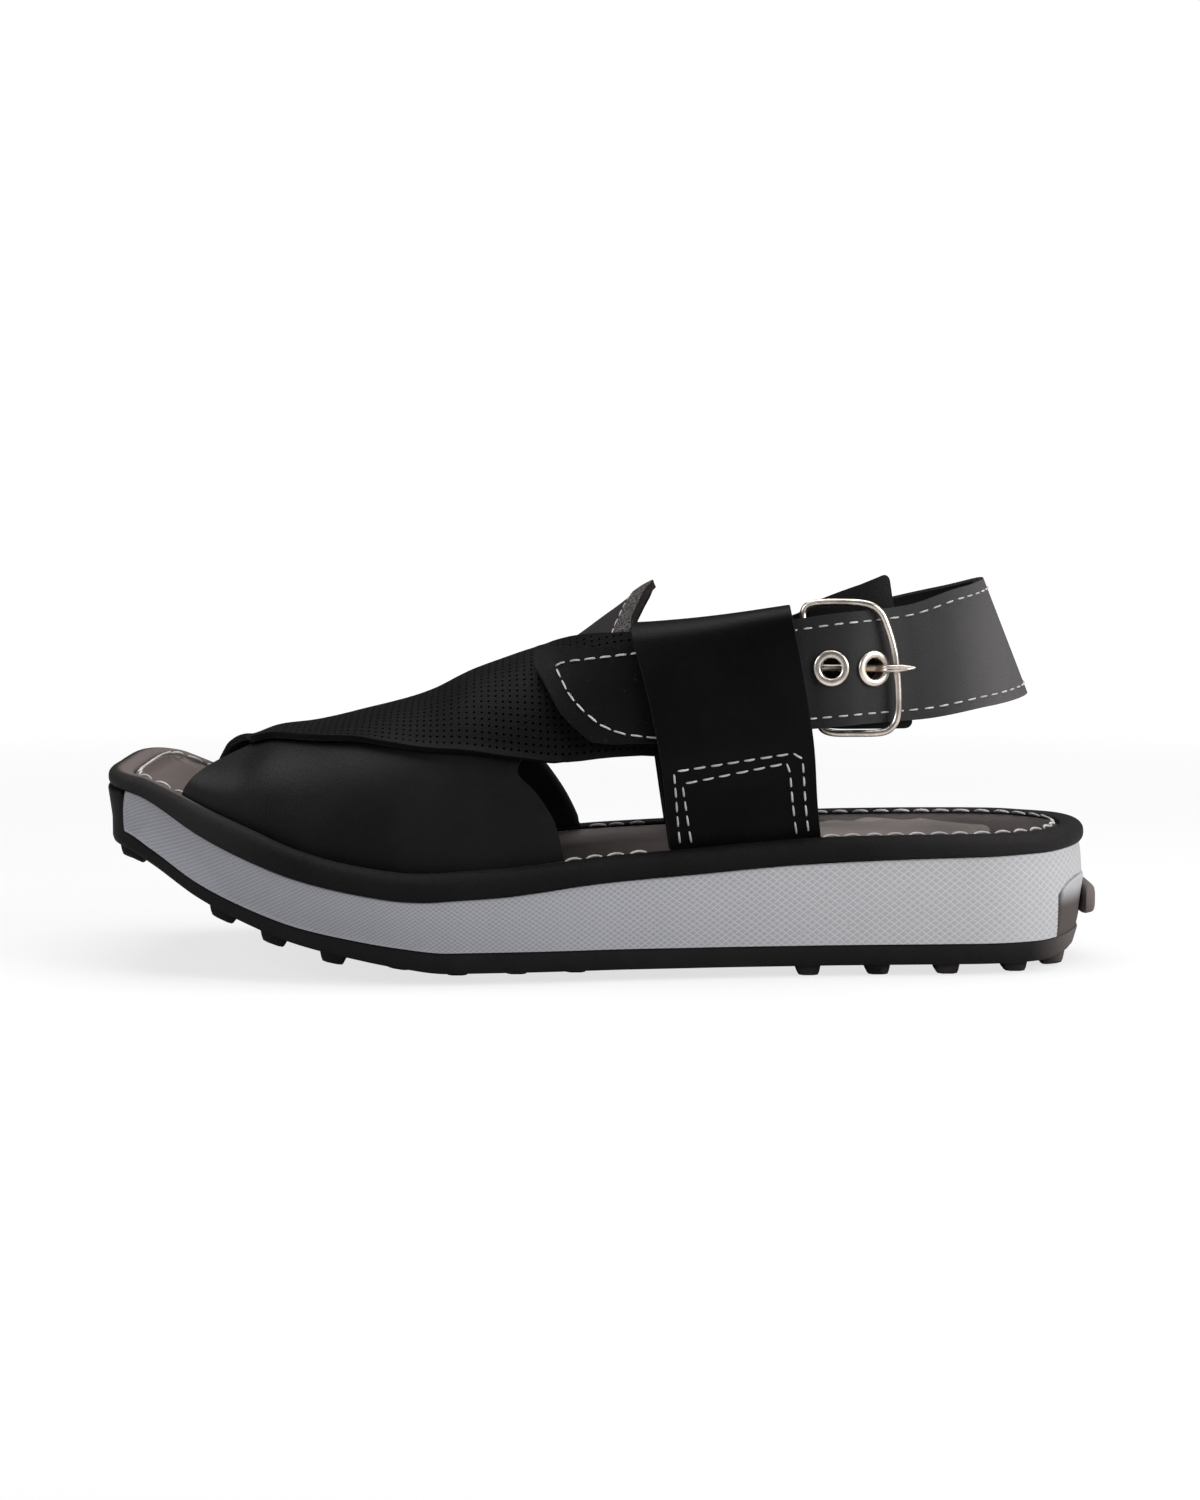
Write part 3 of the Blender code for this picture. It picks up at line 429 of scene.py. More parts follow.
def keepPiece(name, bm, looks, nodes=(), sheet=None, sharp=40):
    if not sheet:
        bmesh.ops.remove_doubles(bm, verts=bm.verts, dist=2e-6)
        bmesh.ops.recalc_face_normals(bm, faces=bm.faces)
    elif "inside" in sheet:
        turnAway(bm, sheet["inside"])
    piece = addObject(name, takeMesh(name, bm))
    for look in looks:
        piece.data.materials.append(look)
    piece.data.shade_smooth()
    piece.data.set_sharp_from_angle(angle=math.radians(sharp))
    if sheet:
        addWall(piece, sheet, len(looks) - 1)
    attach(piece, "root")
    if nodes:
        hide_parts(*nodes)
    return piece


def settle(piece):                       # modifiers applied, so that cutters can go
    graph = bpy.context.evaluated_depsgraph_get()
    mesh = bpy.data.meshes.new_from_object(piece.evaluated_get(graph))
    piece.modifiers.clear()
    piece.data = mesh


# Shader maths: a socket that Python can add, subtract and multiply, and a material of such sockets
class Wire:
    def __init__(self, look, socket):
        self.look = look
        self.socket = socket

    def __add__(self, other):
        return self.look.maths("ADD", self, other)

    def __radd__(self, other):
        return self.look.maths("ADD", other, self)

    def __sub__(self, other):
        return self.look.maths("SUBTRACT", self, other)

    def __rsub__(self, other):
        return self.look.maths("SUBTRACT", other, self)

    def __mul__(self, other):
        return self.look.maths("MULTIPLY", self, other)

    def __rmul__(self, other):
        return self.look.maths("MULTIPLY", other, self)

    def between(self, low, high):        # 0 at low, 1 at high, held outside them
        settings = {"interpolation_type": "SMOOTHSTEP"}
        inputs = {"Value": self, "From Min": low, "From Max": high}
        return self.look.node("ShaderNodeMapRange", settings, inputs)


class Look:
    def __init__(self, name, **constants):
        self.material = bpy.data.materials.new(name)
        self.material.use_nodes = True
        self.tree = self.material.node_tree
        self.shader = self.tree.nodes["Principled BSDF"]
        for socketName, value in constants.items():
            self.shader.inputs[socketName.replace("_", " ")].default_value = value
        self.place = self.node("ShaderNodeTexCoord", output="Object")
        self.uv = self.node("ShaderNodeTexCoord", output="UV")

    def node(self, kind, settings=None, inputs=None, output=0):
        made = self.tree.nodes.new(kind)
        for name, value in (settings or {}).items():
            setattr(made, name, value)
        for name, value in (inputs or {}).items():
            if isinstance(value, Wire):
                self.tree.links.new(value.socket, made.inputs[name])
            else:
                made.inputs[name].default_value = value
        return Wire(self, made.outputs[output])

    def maths(self, operation, *values):
        return self.node("ShaderNodeMath", {"operation": operation}, dict(enumerate(values)))

    def noise(self, scale, detail=3.0, roughness=0.55):
        inputs = {"Vector": self.place, "Scale": scale, "Detail": detail, "Roughness": roughness}
        return self.node("ShaderNodeTexNoise", None, inputs)

    def cells(self, scale, feature="DISTANCE_TO_EDGE"):
        inputs = {"Vector": self.place, "Scale": scale}
        return self.node("ShaderNodeTexVoronoi", {"feature": feature}, inputs)

    def mix(self, factor, first, second):
        inputs = {0: factor, 6: first, 7: second}
        inputs = {k: (*v, 1) if isinstance(v, tuple) else v for k, v in inputs.items()}
        return self.node("ShaderNodeMix", {"data_type": "RGBA"}, inputs, 2)

    def axis(self, name, where=None):
        return self.node("ShaderNodeSeparateXYZ", None, {0: where or self.place}, "XYZ".index(name))

    def bump(self, height, distance, strength, normal=None):
        inputs = {"Height": height, "Distance": distance, "Strength": strength}
        if normal:
            inputs["Normal"] = normal
        return self.node("ShaderNodeBump", None, inputs)

    def finish(self, colour, roughness, normal):
        varying = {"Base Color": colour, "Roughness": roughness, "Normal": normal}
        for socketName, value in varying.items():
            self.tree.links.new(value.socket, self.shader.inputs[socketName])
        return self.material


def scaled(colour, by):
    return tuple(by * part for part in colour)


def makeLeather(name, dark, light, rough, grainDepth, shine=0.09, dust=0.25, paintedLight=()):
    look = Look(name, Specular_IOR_Level=shine)
    patches = look.noise(38, 4)
    fibres = look.noise(900, 3)
    grain = look.cells(1150)
    pores = look.noise(3200, 2)
    colour = look.mix(patches.between(0.35, 0.7), dark, light)
    for direction, low, high, tone in paintedLight:       # painted light and shade: a tone towards one end, lighter where the light falls and darker where it doesn't
        there = look.axis(direction).between(low, high) * (0.8 + 0.3 * patches)
        colour = look.mix(there, colour, tone)
    speck = look.noise(420, 2, 0.7).between(0.62, 0.78) * dust
    colour = look.mix(speck, colour, scaled(light, 2.2))
    fine = look.bump(grain.between(0.0, 0.35) * 0.6 + pores * 0.4, grainDepth, 0.55)
    normal = look.bump(look.noise(70, 2), 0.0005, 0.35, fine)
    return look.finish(colour, rough - 0.13 + 0.16 * patches + 0.10 * fibres, normal)


blackLeather = makeLeather(
    "blackLeather", (0.0016, 0.0015, 0.0016), (0.0028, 0.0027, 0.0027),
    rough=0.46, grainDepth=0.00007, shine=0.06,
)
bandLeather = makeLeather(
    "bandLeather", (0.0040, 0.0038, 0.0039), (0.0064, 0.0061, 0.0061),
    rough=0.50, grainDepth=0.00008, shine=0.10,
    # painted highlight: lighter towards the top, where the top softbox falls
    paintedLight=[("Z", 0.072, 0.108, (0.026, 0.0235, 0.0235))],
)
softLeather = makeLeather(
    "softLeather", (0.0060, 0.0057, 0.0057), (0.0095, 0.0090, 0.0090),
    rough=0.50, grainDepth=0.00009, shine=0.10,
)
strapLeather = makeLeather(
    "strapLeather", (0.0300, 0.0292, 0.0297), (0.0375, 0.0365, 0.0366),
    rough=0.56, grainDepth=0.00011, shine=0.06, dust=0.1,
    # painted shade towards the free end, and painted highlight round the heel's back, where the right light
    # falls
    paintedLight=[
        ("X", 0.088, 0.026, (0.0012, 0.0011, 0.0012)),
        ("X", 0.092, 0.116, (0.080, 0.0765, 0.077)),
    ],
)
liningLeather = makeLeather(
    "liningLeather", (0.0080, 0.0074, 0.0074), (0.0140, 0.0130, 0.0130),
    rough=0.70, grainDepth=0.00008,
)
perforatedLeather = makeLeather(
    "perforatedLeather", (0.0022, 0.0021, 0.0021), (0.0036, 0.0034, 0.0034),
    rough=0.56, grainDepth=0.00008, shine=0.06,
)

# Tones of the other finishes: dark, light, worn or in shadow, and dusty
tones = {
    "rawEdge": ((0.004, 0.0035, 0.0035), (0.024, 0.020, 0.018), (0.075, 0.060, 0.055)),
    "felt": ((0.018, 0.016, 0.016), (0.130, 0.115, 0.110), (0.030, 0.027, 0.027)),
    "thread": ((0.34, 0.33, 0.33), (0.52, 0.50, 0.49), (0.22, 0.21, 0.21)),
    "footbed": ((0.060, 0.047, 0.043), (0.090, 0.072, 0.066)),
    "heelSock": ((0.135, 0.114, 0.107), (0.170, 0.145, 0.136)),
    "rubber": (
        (0.0032, 0.0029, 0.0029), (0.0060, 0.0054, 0.0054), (0.060, 0.050, 0.047), (0.150, 0.125, 0.118),
    ),
    "welt": (
        (0.0026, 0.0024, 0.0025), (0.0048, 0.0045, 0.0045), (0.0150, 0.0136, 0.0137), (0.125, 0.104, 0.099),
    ),
    "nickel": (0.80, 0.72, 0.64),
}


def makeRawEdge():
    look = Look("rawEdge", Specular_IOR_Level=0.12)
    dark, light, worn = tones["rawEdge"]
    fibres = look.noise(2600, 4, 0.7)
    streaks = look.noise(600, 3)
    colour = look.mix(fibres.between(0.45, 0.62), dark, light)
    colour = look.mix(streaks.between(0.58, 0.75) * 0.5, colour, worn)
    return look.finish(colour, 0.72 + 0.2 * fibres, look.bump(fibres, 0.0002, 0.7))


def makeFelt():
    look = Look("bindingFelt", Specular_IOR_Level=0.2)
    dark, light, shadow = tones["felt"]
    fibres = look.noise(1500, 4, 0.75)
    threads = look.cells(900, "F1")
    colour = look.mix(fibres.between(0.42, 0.6), dark, light)
    colour = look.mix(threads.between(0.5, 0.8) * 0.7, colour, shadow)
    return look.finish(colour, 0.75 + 0.2 * fibres, look.bump(fibres + threads * 0.5, 0.0004, 0.8))


def makeThread():
    look = Look("waxedThread", Specular_IOR_Level=0.3)
    dark, light, shadow = tones["thread"]
    twist = look.noise(1700, 2)
    tone = look.noise(90, 3)
    colour = look.mix(tone.between(0.35, 0.7), dark, light)
    colour = look.mix(twist.between(0.55, 0.7) * 0.5, colour, shadow)
    return look.finish(colour, 0.6 + 0.2 * twist, look.bump(twist, 0.0002, 0.6))


def makeFootbedLook(name, dark, light, shade=0.0):     # shade darkens it towards the heel
    look = Look(name, Specular_IOR_Level=0.35)
    lengthwise = look.axis("X")
    patches = look.noise(26, 5, 0.6)
    sheenBlotches = look.noise(75, 4, 0.65)
    grain = look.cells(1300)
    pores = look.noise(2800, 2)
    colour = look.mix(patches.between(0.32, 0.68), dark, light)
    colour = look.mix(shade * lengthwise.between(0.00, 0.06), colour, scaled(dark, 0.5))
    # painted light: lighter towards the toe, where the left light falls
    colour = look.mix(lengthwise.between(-0.095, -0.125), colour, scaled(light, 1.15))
    # painted sheen: lighter blotches standing in for the gloss of wrinkled leather
    colour = look.mix(sheenBlotches.between(0.55, 0.8) * 0.35, colour, scaled(light, 1.45))
    fine = look.bump(grain.between(0.0, 0.3) * 0.5 + pores * 0.5, 0.00008, 0.6)
    normal = look.bump(look.noise(110, 3), 0.0006, 0.35, fine)
    return look.finish(colour, 0.44 + 0.26 * sheenBlotches, normal)


def makeRubber():
    look = Look("blackRubber", Specular_IOR_Level=0.14)
    dark, light, scuffed, dusty = tones["rubber"]
    dust = look.noise(60, 5, 0.65)
    pores = look.noise(1800, 3)
    low = 1 - look.axis("Z").between(0.0, 0.0045)
    atHeel = look.axis("X").between(0.120, 0.143)
    colour = look.mix(dust.between(0.4, 0.7), dark, light)
    colour = look.mix(low * dust.between(0.35, 0.6) * 0.55, colour, scuffed)
    colour = look.mix(atHeel * 0.85, colour, dusty)
    return look.finish(colour, 0.58 + 0.22 * dust, look.bump(pores + dust, 0.00018, 0.6))


def makeWeltLook():
    look = Look("weltLeather", Specular_IOR_Level=0.10)
    dark, light, worn, dusty = tones["welt"]
    section = look.axis("Y", look.uv)
    lengthwise = look.axis("X")
    patches = look.noise(45, 4)
    pores = look.noise(2400, 3)
    grain = look.cells(1500)
    ends = lengthwise.between(0.055, 0.125) + lengthwise.between(-0.085, -0.120)
    atToe = 1 - lengthwise.between(-0.128, -0.108)
    colour = look.mix(patches.between(0.35, 0.7), dark, light)
    colour = look.mix(ends * (0.7 + 0.4 * patches), colour, worn)
    colour = look.mix(atToe * section.between(0.42, 0.56), colour, dusty)
    normal = look.bump(grain.between(0.0, 0.3) + pores, 0.00009, 0.7)
    return look.finish(colour, 0.56 + 0.18 * patches, normal)


def makeMetal(name, colour, rough):
    look = Look(name, Metallic=1.0)
    smears = look.noise(160, 4)
    scratches = look.noise(5200, 2, 0.6)
    mixed = look.mix(smears.between(0.35, 0.7), scaled(colour, 0.62), colour)
    return look.finish(mixed, rough + 0.16 * smears, look.bump(scratches, 0.00002, 0.3))


# Foam: the diamond pattern of its side, finer at the toe, and its tones, which hold painted light and shade
foam = {
    "toePitch": 0.00115,
    "heelPitch": 0.0024,
    "rows": 12,
    "steps": 4,
    "relief": 0.00026,
    "toeCell": (0.245, 0.248, 0.273),
    "toeRib": (0.405, 0.410, 0.436),
    "heelCell": (0.368, 0.368, 0.378),
    "heelRib": (0.515, 0.515, 0.523),
    "grime": (0.14, 0.14, 0.16),
    "cupRubber": (0.068, 0.057, 0.054),
}


def makeFoamLook(name, cupFrom=None):    # cupFrom is the height where the heel cup turns to rubber
    look = Look(name, Specular_IOR_Level=0.25)
    across = look.axis("X", look.uv)
    up = look.axis("Y", look.uv)
    ribs = []
    for phase in (across + up, across - up):
        ribs.append(look.maths("PINGPONG", phase + 200.0, 0.5).between(0.17, 0.02))
    # partly painted light: the tones lighten towards the heel, where the right light falls
    towardsHeel = look.axis("X").between(-0.06, 0.13)
    patches = look.noise(30, 4)
    specks = look.noise(1500, 3, 0.7)
    cellTone = look.mix(towardsHeel, foam["toeCell"], foam["heelCell"])
    ribTone = look.mix(towardsHeel, foam["toeRib"], foam["heelRib"])
    # painted light and shade: the ribs lighter and the cells darker, standing in for light on the raised
    # ribs and shade between them
    pattern = look.maths("MAXIMUM", *ribs) * (0.55 + 0.35 * patches)
    colour = look.mix(pattern, cellTone, ribTone)
    colour = look.mix(specks.between(0.56, 0.74) * 0.35, colour, foam["grime"])
    if cupFrom is not None:
        lower = 1 - look.axis("Z").between(cupFrom - 0.004, cupFrom + 0.003)
        colour = look.mix(lower, colour, foam["cupRubber"])
    return look.finish(colour, 0.78 + 0.12 * patches, look.bump(specks, 0.00015, 0.6))


rawEdge = makeRawEdge()
bindingFelt = makeFelt()
thread = makeThread()
footbedLeather = makeFootbedLook("footbedLeather", *tones["footbed"], shade=0.85)
heelSockLeather = makeFootbedLook("heelPadLeather", *tones["heelSock"])
blackRubber = makeRubber()
weltLeather = makeWeltLook()
nickel = makeMetal("warmNickel", tones["nickel"], 0.24)
foamGrey = makeFoamLook("foamGrey")
heelCupLook = makeFoamLook("heelCupRubber", 0.0215)
print("materials made")

# Outsole: plate, toe bumper, heel cup and lugs
outsole = {
    "inset": 0.0009,
    "chamfer": 0.0013,
    "around": 720,
    "bumperReach": 0.0074,
    "bumperThickness": 0.0042,
    "cupReach": 0.0098,
    "cupThickness": 0.0030,
    "cupHeight": 0.0262,
    "cupSideHeight": 0.0215,
    "cupTuck": 0.0018,
    "wrapFoot": 0.0017,
    "wrapBend": 0.35,
    "wrapRounding": 0.0011,
    "wrapSteps": 120,
    "proud": 0.0003,
    "heelTuck": 0.0026,
    "tuckReach": 0.0150,
}
lugs = {
    "length": 0.0082,
    "taper": 0.0010,
    "edgeWidth": 0.0170,
    "centreWidth": 0.0200,
    "channel": 0.0020,
    "setIn": 0.0125,
    "toeRows": (0.030, 0.124, 0.176, 0.236),
    "firstInner": 0.298,
    "innerRows": 4,
    "innerPitch": 0.0168,
    "firstHeel": 0.709,
    "heelRows": 4,
    "heelPitch": 0.0199,
    "lastRow": 0.962,
    "groove": 0.0007,
}
rearLug = {"height": 0.0184, "halfWidth": 0.013, "halfHeight": 0.005, "taper": 0.0010, "buried": 0.0012}

# Midsole: a foam slab with raised diamond ribs round its side
midsole = {
    "inset": 0.0008,
    "topInset": 0.0014,
    "lip": 0.0012,
    "foldIn": 0.004,
    "bulge": 0.0004,
    "setBack": 0.0024,
    "around": 1504,
    "across": 2,
}


def ribPhases(count):                    # even steps of the rib pattern, finer at the toe
    samples = 2000
    phases = [0.0]
    for i in range(samples):
        share = shareAt(rimAt((i + 0.5) / samples, 0).x)
        pitch = blend(foam["toePitch"], foam["heelPitch"], ease((share - 0.05) / 0.8))
        phases.append(phases[-1] + rimLength / samples / pitch)
    return [sum(findStep(phases, phases[-1] * i / count)) / samples for i in range(count + 1)]


def cupTop(share):
    t = held((1 - share) * sole["length"] / outsole["cupReach"])
    return blend(outsole["cupHeight"], outsole["cupSideHeight"], t**3)


def setBack(u, height):                  # where the toe bumper and the heel cup cover the foam
    x = rimAt(u, 0).x
    toe = ease((along(0) + outsole["bumperReach"] - 0.0008 - x) / 0.0006)
    cup = ease((x - along(1) + outsole["cupReach"] + 0.0002) / 0.0006)
    return max(toe, cup * ease((cupTop(shareAt(x)) + 0.0003 - height) / 0.0005))


def makeMidsole():
    bm = bmesh.new()
    around = midsole["around"]
    steps = foam["steps"]
    places = ribPhases(around)
    foldRows = 2                         # rows that turn in under the welt and over the outsole
    wallRows = foam["rows"] * steps
    rows = wallRows + 2 * foldRows

    def levelAt(share, t):
        return blend(plateTop(share) + sole["gap"], midsoleTop(share), t)

    def insetAt(t):
        return blend(midsole["inset"], midsole["topInset"], t**3)

    def wall(u, v):
        i = round(u * around)
        j = round(v * rows) - foldRows
        t = held(j / wallRows)
        inset = insetAt(t)
        if j in (-1, wallRows + 1):
            inset += midsole["lip"]
        elif j < 0 or j > wallRows:
            inset += midsole["foldIn"]
        else:
            onRib = (i + j) % steps == 0 or (i - j) % steps == 0
            relief = foam["relief"] * min(1.0, min(t, 1 - t) * 14) if onRib else 0.0
            bulge = midsole["bulge"] * (1 - (2 * t - 1) ** 2)
            back = setBack(places[i], levelAt(shareAt(rimAt(places[i], 0).x), t))
            inset += midsole["setBack"] * back - (relief + bulge) * (1 - back)
        return rimLevel(places[i] if i < around else 1.0, inset, lambda share: levelAt(share, t))

    addGrid(bm, around, rows, wall, (around // steps, rows / steps))
    for t in (0.0, 1.0):

        def ring(u):
            inset = insetAt(t) + midsole["foldIn"]
            return rimLevel(places[round(u * around)], inset, lambda share: levelAt(share, t))

        addCap(bm, around, midsole["across"], ring, lambda point: levelAt(shareAt(point.x), t))
    keepPiece("midsoleFoam", bm, [foamGrey], ["midsole"], sharp=70)


makeMidsole()
print("midsole made")


def tuckedRim(u, inset, tuck, height):   # the rim of the plate, drawn in under the back of the heel
    atHeel = ease((rimAt(u, 0).x - along(1) + outsole["tuckReach"]) / outsole["tuckReach"])
    return rimLevel(u, inset + tuck * outsole["heelTuck"] * atHeel, height)


def makePlate():
    bm = bmesh.new()
    around = outsole["around"]
    inset = outsole["inset"]
    chamfer = outsole["chamfer"]
    rows = (
        (inset + chamfer, 1.0, baseHeight),
        (inset + 0.3 * chamfer, 0.8, lambda share: baseHeight(share) + 0.25 * chamfer),
        (inset, 0.6, lambda share: baseHeight(share) + chamfer),
        (inset, 0.15, lambda share: plateTop(share) - 0.0006),
        (inset + 0.0003, 0.1, plateTop),
    )
    count = len(rows) - 1
    addGrid(bm, around, count, lambda u, v: tuckedRim(u, *rows[round(v * count)]))
    for row in (rows[0], rows[-1]):
        addCap(bm, around, 24, lambda u: tuckedRim(u, *row), lambda point: row[2](shareAt(point.x)))
    keepPiece("outsolePlate", bm, [blackRubber], ["outsole"], sharp=50)


def roundedSection(corners, count, rounding):
    path = []
    for i, corner in enumerate(corners):
        before = corners[i - 1]
        after = corners[(i + 1) % len(corners)]
        start = corner.lerp(before, min(0.45, rounding / max((before - corner).length, 1e-6)))
        end = corner.lerp(after, min(0.45, rounding / max((after - corner).length, 1e-6)))
        for k in range(count):
            t = k / (count - 1)
            path.append(start * (1 - t) ** 2 + corner * 2 * t * (1 - t) + end * t**2)
    return path


def wrapSpan(centreU, reach):            # how far along the rim a distance from its end goes
    def covers(x):
        return x < along(0) + reach if centreU == 0 else x > along(1) - reach

    found = []
    for direction in (-1, 1):
        u = centreU
        while covers(rimAt(u, 0).x):
            u += direction * 0.0005
        found.append(u)
    return found


def makeWrap(name, centreU, reach, thickness, topAt, look, tuck=0.0):
    bm = bmesh.new()
    start, end = wrapSpan(centreU, reach)
    steps = outsole["wrapSteps"]
    perCorner = 5
    sides = 5 * perCorner

    def place(u, v):
        where = blend(start, end, u)
        share = shareAt(rimAt(where, 0).x)
        inset = outsole["inset"]
        low = baseHeight(share) + outsole["wrapFoot"]
        high = topAt(share)
        bend = blend(low, high, outsole["wrapBend"])
        corners = (
            Vector((inset + tuck, low)),
            Vector((inset + 0.1 * tuck, bend)),
            Vector((-outsole["proud"], high)),
            Vector((thickness, high)),
            Vector((thickness, low)),
        )
        middle = (corners[0] + corners[3]) / 2
        section = roundedSection(corners, perCorner, outsole["wrapRounding"])
        fade = math.sqrt(min(1.0, min(u, 1 - u) * steps / 3))
        away, height = middle.lerp(section[round(v * sides) % sides], fade if fade > 0.05 else 0.0)
        point = rimAt(where, away)
        point.z = height
        return point

    addGrid(bm, steps, sides, place)
    keepPiece(name, bm, [look], sharp=60)


def makeBumperAndCup():
    makeWrap(
        "toeBumper", 0, outsole["bumperReach"], outsole["bumperThickness"],
        lambda share: midsoleTop(share) - sole["gap"], blackRubber,
    )
    heelU = max(range(len(rimPoints)), key=lambda i: rimPoints[i].x) / len(rimPoints)
    makeWrap(
        "heelCup", heelU, outsole["cupReach"], outsole["cupThickness"],
        cupTop, heelCupLook, outsole["cupTuck"],
    )


def lugPlaces():                         # x of each lug, and its outer and inner side
    rows = [(along(share), 0.0) for share in lugs["toeRows"]]
    for i in range(lugs["innerRows"]):
        rows.append((along(lugs["firstInner"]) + i * lugs["innerPitch"], lugs["setIn"]))
    for i in range(lugs["heelRows"]):
        rows.append((along(lugs["firstHeel"]) + i * lugs["heelPitch"], 0.0))
    rows.append((along(lugs["lastRow"]), 0.0))
    wide = lugs["edgeWidth"]
    middle = lugs["centreWidth"]
    places = []
    for x, setIn in rows:
        edge = 2 * outsole["inset"] + setIn
        ends = [shareAt(x + side * lugs["length"] / 2) for side in (-1, 1)]
        low = max(outlinePoint(share, -1).y for share in ends) + edge
        high = min(outlinePoint(share, 1).y for share in ends) - edge
        centre = (low + high) / 2
        places += [(x, low, low + wide), (x, high - wide, high)]
        if high - low > 2 * wide + middle + 2 * lugs["channel"]:
            places.append((x, centre - middle / 2, centre + middle / 2))
    return places


def roundBlock(bm, shape):               # a cube in small squares, shaped by a function
    block = bmesh.new()
    bmesh.ops.create_cube(block, size=2)
    bmesh.ops.subdivide_edges(block, edges=block.edges, cuts=3, use_grid_fill=True)
    for vert in block.verts:
        vert.co = shape(vert.co)
    mesh = takeMesh("block", block)
    bm.from_mesh(mesh)
    bpy.data.meshes.remove(mesh)


def softCube(co, power):                 # moves a point of a cube in, so that its edges round off
    length = (abs(co.x) ** power + abs(co.y) ** power + abs(co.z) ** power) ** (1 / power)
    return co / max(length, 1e-6)


def lugShape(co, x, low, high):
    soft = softCube(co, 7.0)
    top = (soft.z + 1) / 2
    taper = lugs["taper"] * (1 - top)
    where = x + (lugs["length"] / 2 - taper) * soft.x
    level = baseHeight(shareAt(where))
    grooved = co.z < -0.9 and abs(co.x) < 0.1 and abs(co.y) < 0.9
    bottom = level - sole["lugDepth"] + (lugs["groove"] if grooved else 0.0)
    z = bottom + (level + sole["outsoleThickness"] / 3 - bottom) * top
    return Vector((where, (low + high) / 2 + ((high - low) / 2 - taper) * soft.y, max(z, 0.0)))


def rearLugShape(co):
    soft = softCube(co, 5.0)
    out = (soft.x + 1) / 2
    taper = rearLug["taper"] * out
    rear = outlinePoint(1, 1)
    x = rear.x + sole["rearLugDepth"] * out - rearLug["buried"] * (1 - out)
    y = rear.y + (rearLug["halfWidth"] - taper) * soft.y
    return Vector((x, y, rearLug["height"] + (rearLug["halfHeight"] - taper) * soft.z))


def makeLugs():
    bm = bmesh.new()
    for x, low, high in lugPlaces():
        roundBlock(bm, lambda co: lugShape(co, x, low, high))
    roundBlock(bm, rearLugShape)
    keepPiece("treadLugs", bm, [blackRubber], sharp=50)


makePlate()
makeBumperAndCup()
makeLugs()
print("outsole made")

# Welt: how far in and how high, as shares of its width and height
weltSection = (
    (0.10, 0.00),
    (0.00, 0.22),
    (0.01, 0.62),
    (0.17, 0.88),
    (0.46, 1.00),
    (0.80, 0.97),
    (1.00, 0.84),
    (1.00, 0.00),
)
welt = {"around": 720, "steps": 4, "flatFrom": 6, "wobble": 0.00012}


def spline(first, second, third, fourth, t):   # a smooth curve from the second point to the third
    a = -0.5 * first + 1.5 * second - 1.5 * third + 0.5 * fourth
    b = first - 2.5 * second + 2 * third - 0.5 * fourth
    return a * t**3 + b * t**2 + 0.5 * (third - first) * t + second


def makeWelt():
    bm = bmesh.new()
    corners = [Vector(corner) for corner in weltSection]
    path = []
    for i, corner in enumerate(corners):
        before = corners[i - 1] if i else corner
        after = corners[(i + 1) % len(corners)]
        beyond = corners[(i + 2) % len(corners)]
        for k in range(welt["steps"]):
            t = k / welt["steps"]
            flat = i >= welt["flatFrom"]
            path.append(corner.lerp(after, t) if flat else spline(before, corner, after, beyond, t))

    def place(u, v):
        inset, t = path[round(v * len(path)) % len(path)]
        wobble = welt["wobble"] * noise.noise(Vector((u * 60, v * 3, 0)))
        point = rimAt(u, sole["weltWidth"] * inset + wobble)
        share = shareAt(point.x)
        point.z = blend(midsoleTop(share) + sole["gap"], weltTop(share), t)
        return point

    addGrid(bm, welt["around"], len(path), place)
    keepPiece("weltRim", bm, [weltLeather], ["welt"], sharp=60)


makeWelt()
print("welt made")

# Footbed: dished, creased, with a groove under its stitches
footbed = {
    "around": 560,
    "across": 64,
    "chamfer": 0.0006,
    "groove": 0.0005,
    "grooveWidth": 0.0009,
    "stitchInset": 0.0008,
    "stitchRise": 0.0006,
    "unevenness": 0.0003,
    "toeFrom": 0.004,
    "toeReach": 0.020,
    "toeCrowding": 0.42,
}

# Creases of the footbed: from x, y to x, y, then how deep and how wide
creases = (
    (0.012, -0.030, 0.030, -0.022, 0.0009, 0.0020),
    (0.020, -0.036, 0.026, -0.024, 0.0006, 0.0016),
    (0.066, 0.024, 0.082, 0.018, 0.0008, 0.0022),
    (0.072, 0.028, 0.092, 0.022, 0.0006, 0.0020),
    (0.100, 0.020, 0.112, 0.010, 0.0005, 0.0022),
    (-0.070, -0.020, -0.060, 0.022, 0.0004, 0.0030),
    (-0.058, -0.024, -0.050, 0.020, 0.0004, 0.0028),
)


def bell(distance, width):               # 1 at nothing, falling off smoothly over the width
    return math.exp(-((distance / width) ** 2))


def creaseAt(point):
    total = 0.0
    for x0, y0, x1, y1, depth, width in creases:
        start = Vector((x0, y0))
        line = Vector((x1, y1)) - start
        away = Vector((point.x, point.y)) - start
        t = held(away.dot(line) / line.length_squared)
        distance = (away - line * t).length
        fade = math.sin(math.pi * (0.15 + 0.7 * t))
        total += depth * fade * (0.55 * bell(distance - 1.8 * width, width) - bell(distance, width))
    return total


def footbedHeight(point, fromEdge):
    share = shareAt(point.x)
    outer = outlinePoint(share, -1).y
    inner = outlinePoint(share, 1).y
    across = held((point.y - outer) / max(inner - outer, 1e-5))
    dish = sole["dish"] * (1 - (2 * across - 1) ** 4) * endRound(share)
    groove = footbed["groove"] * bell(fromEdge - footbed["stitchInset"], footbed["grooveWidth"])
    uneven = footbed["unevenness"] * noise.noise(point * 55)
    return footbedEdge(share) - groove + (uneven + creaseAt(point) - dish) * ease(fromEdge / 0.008)


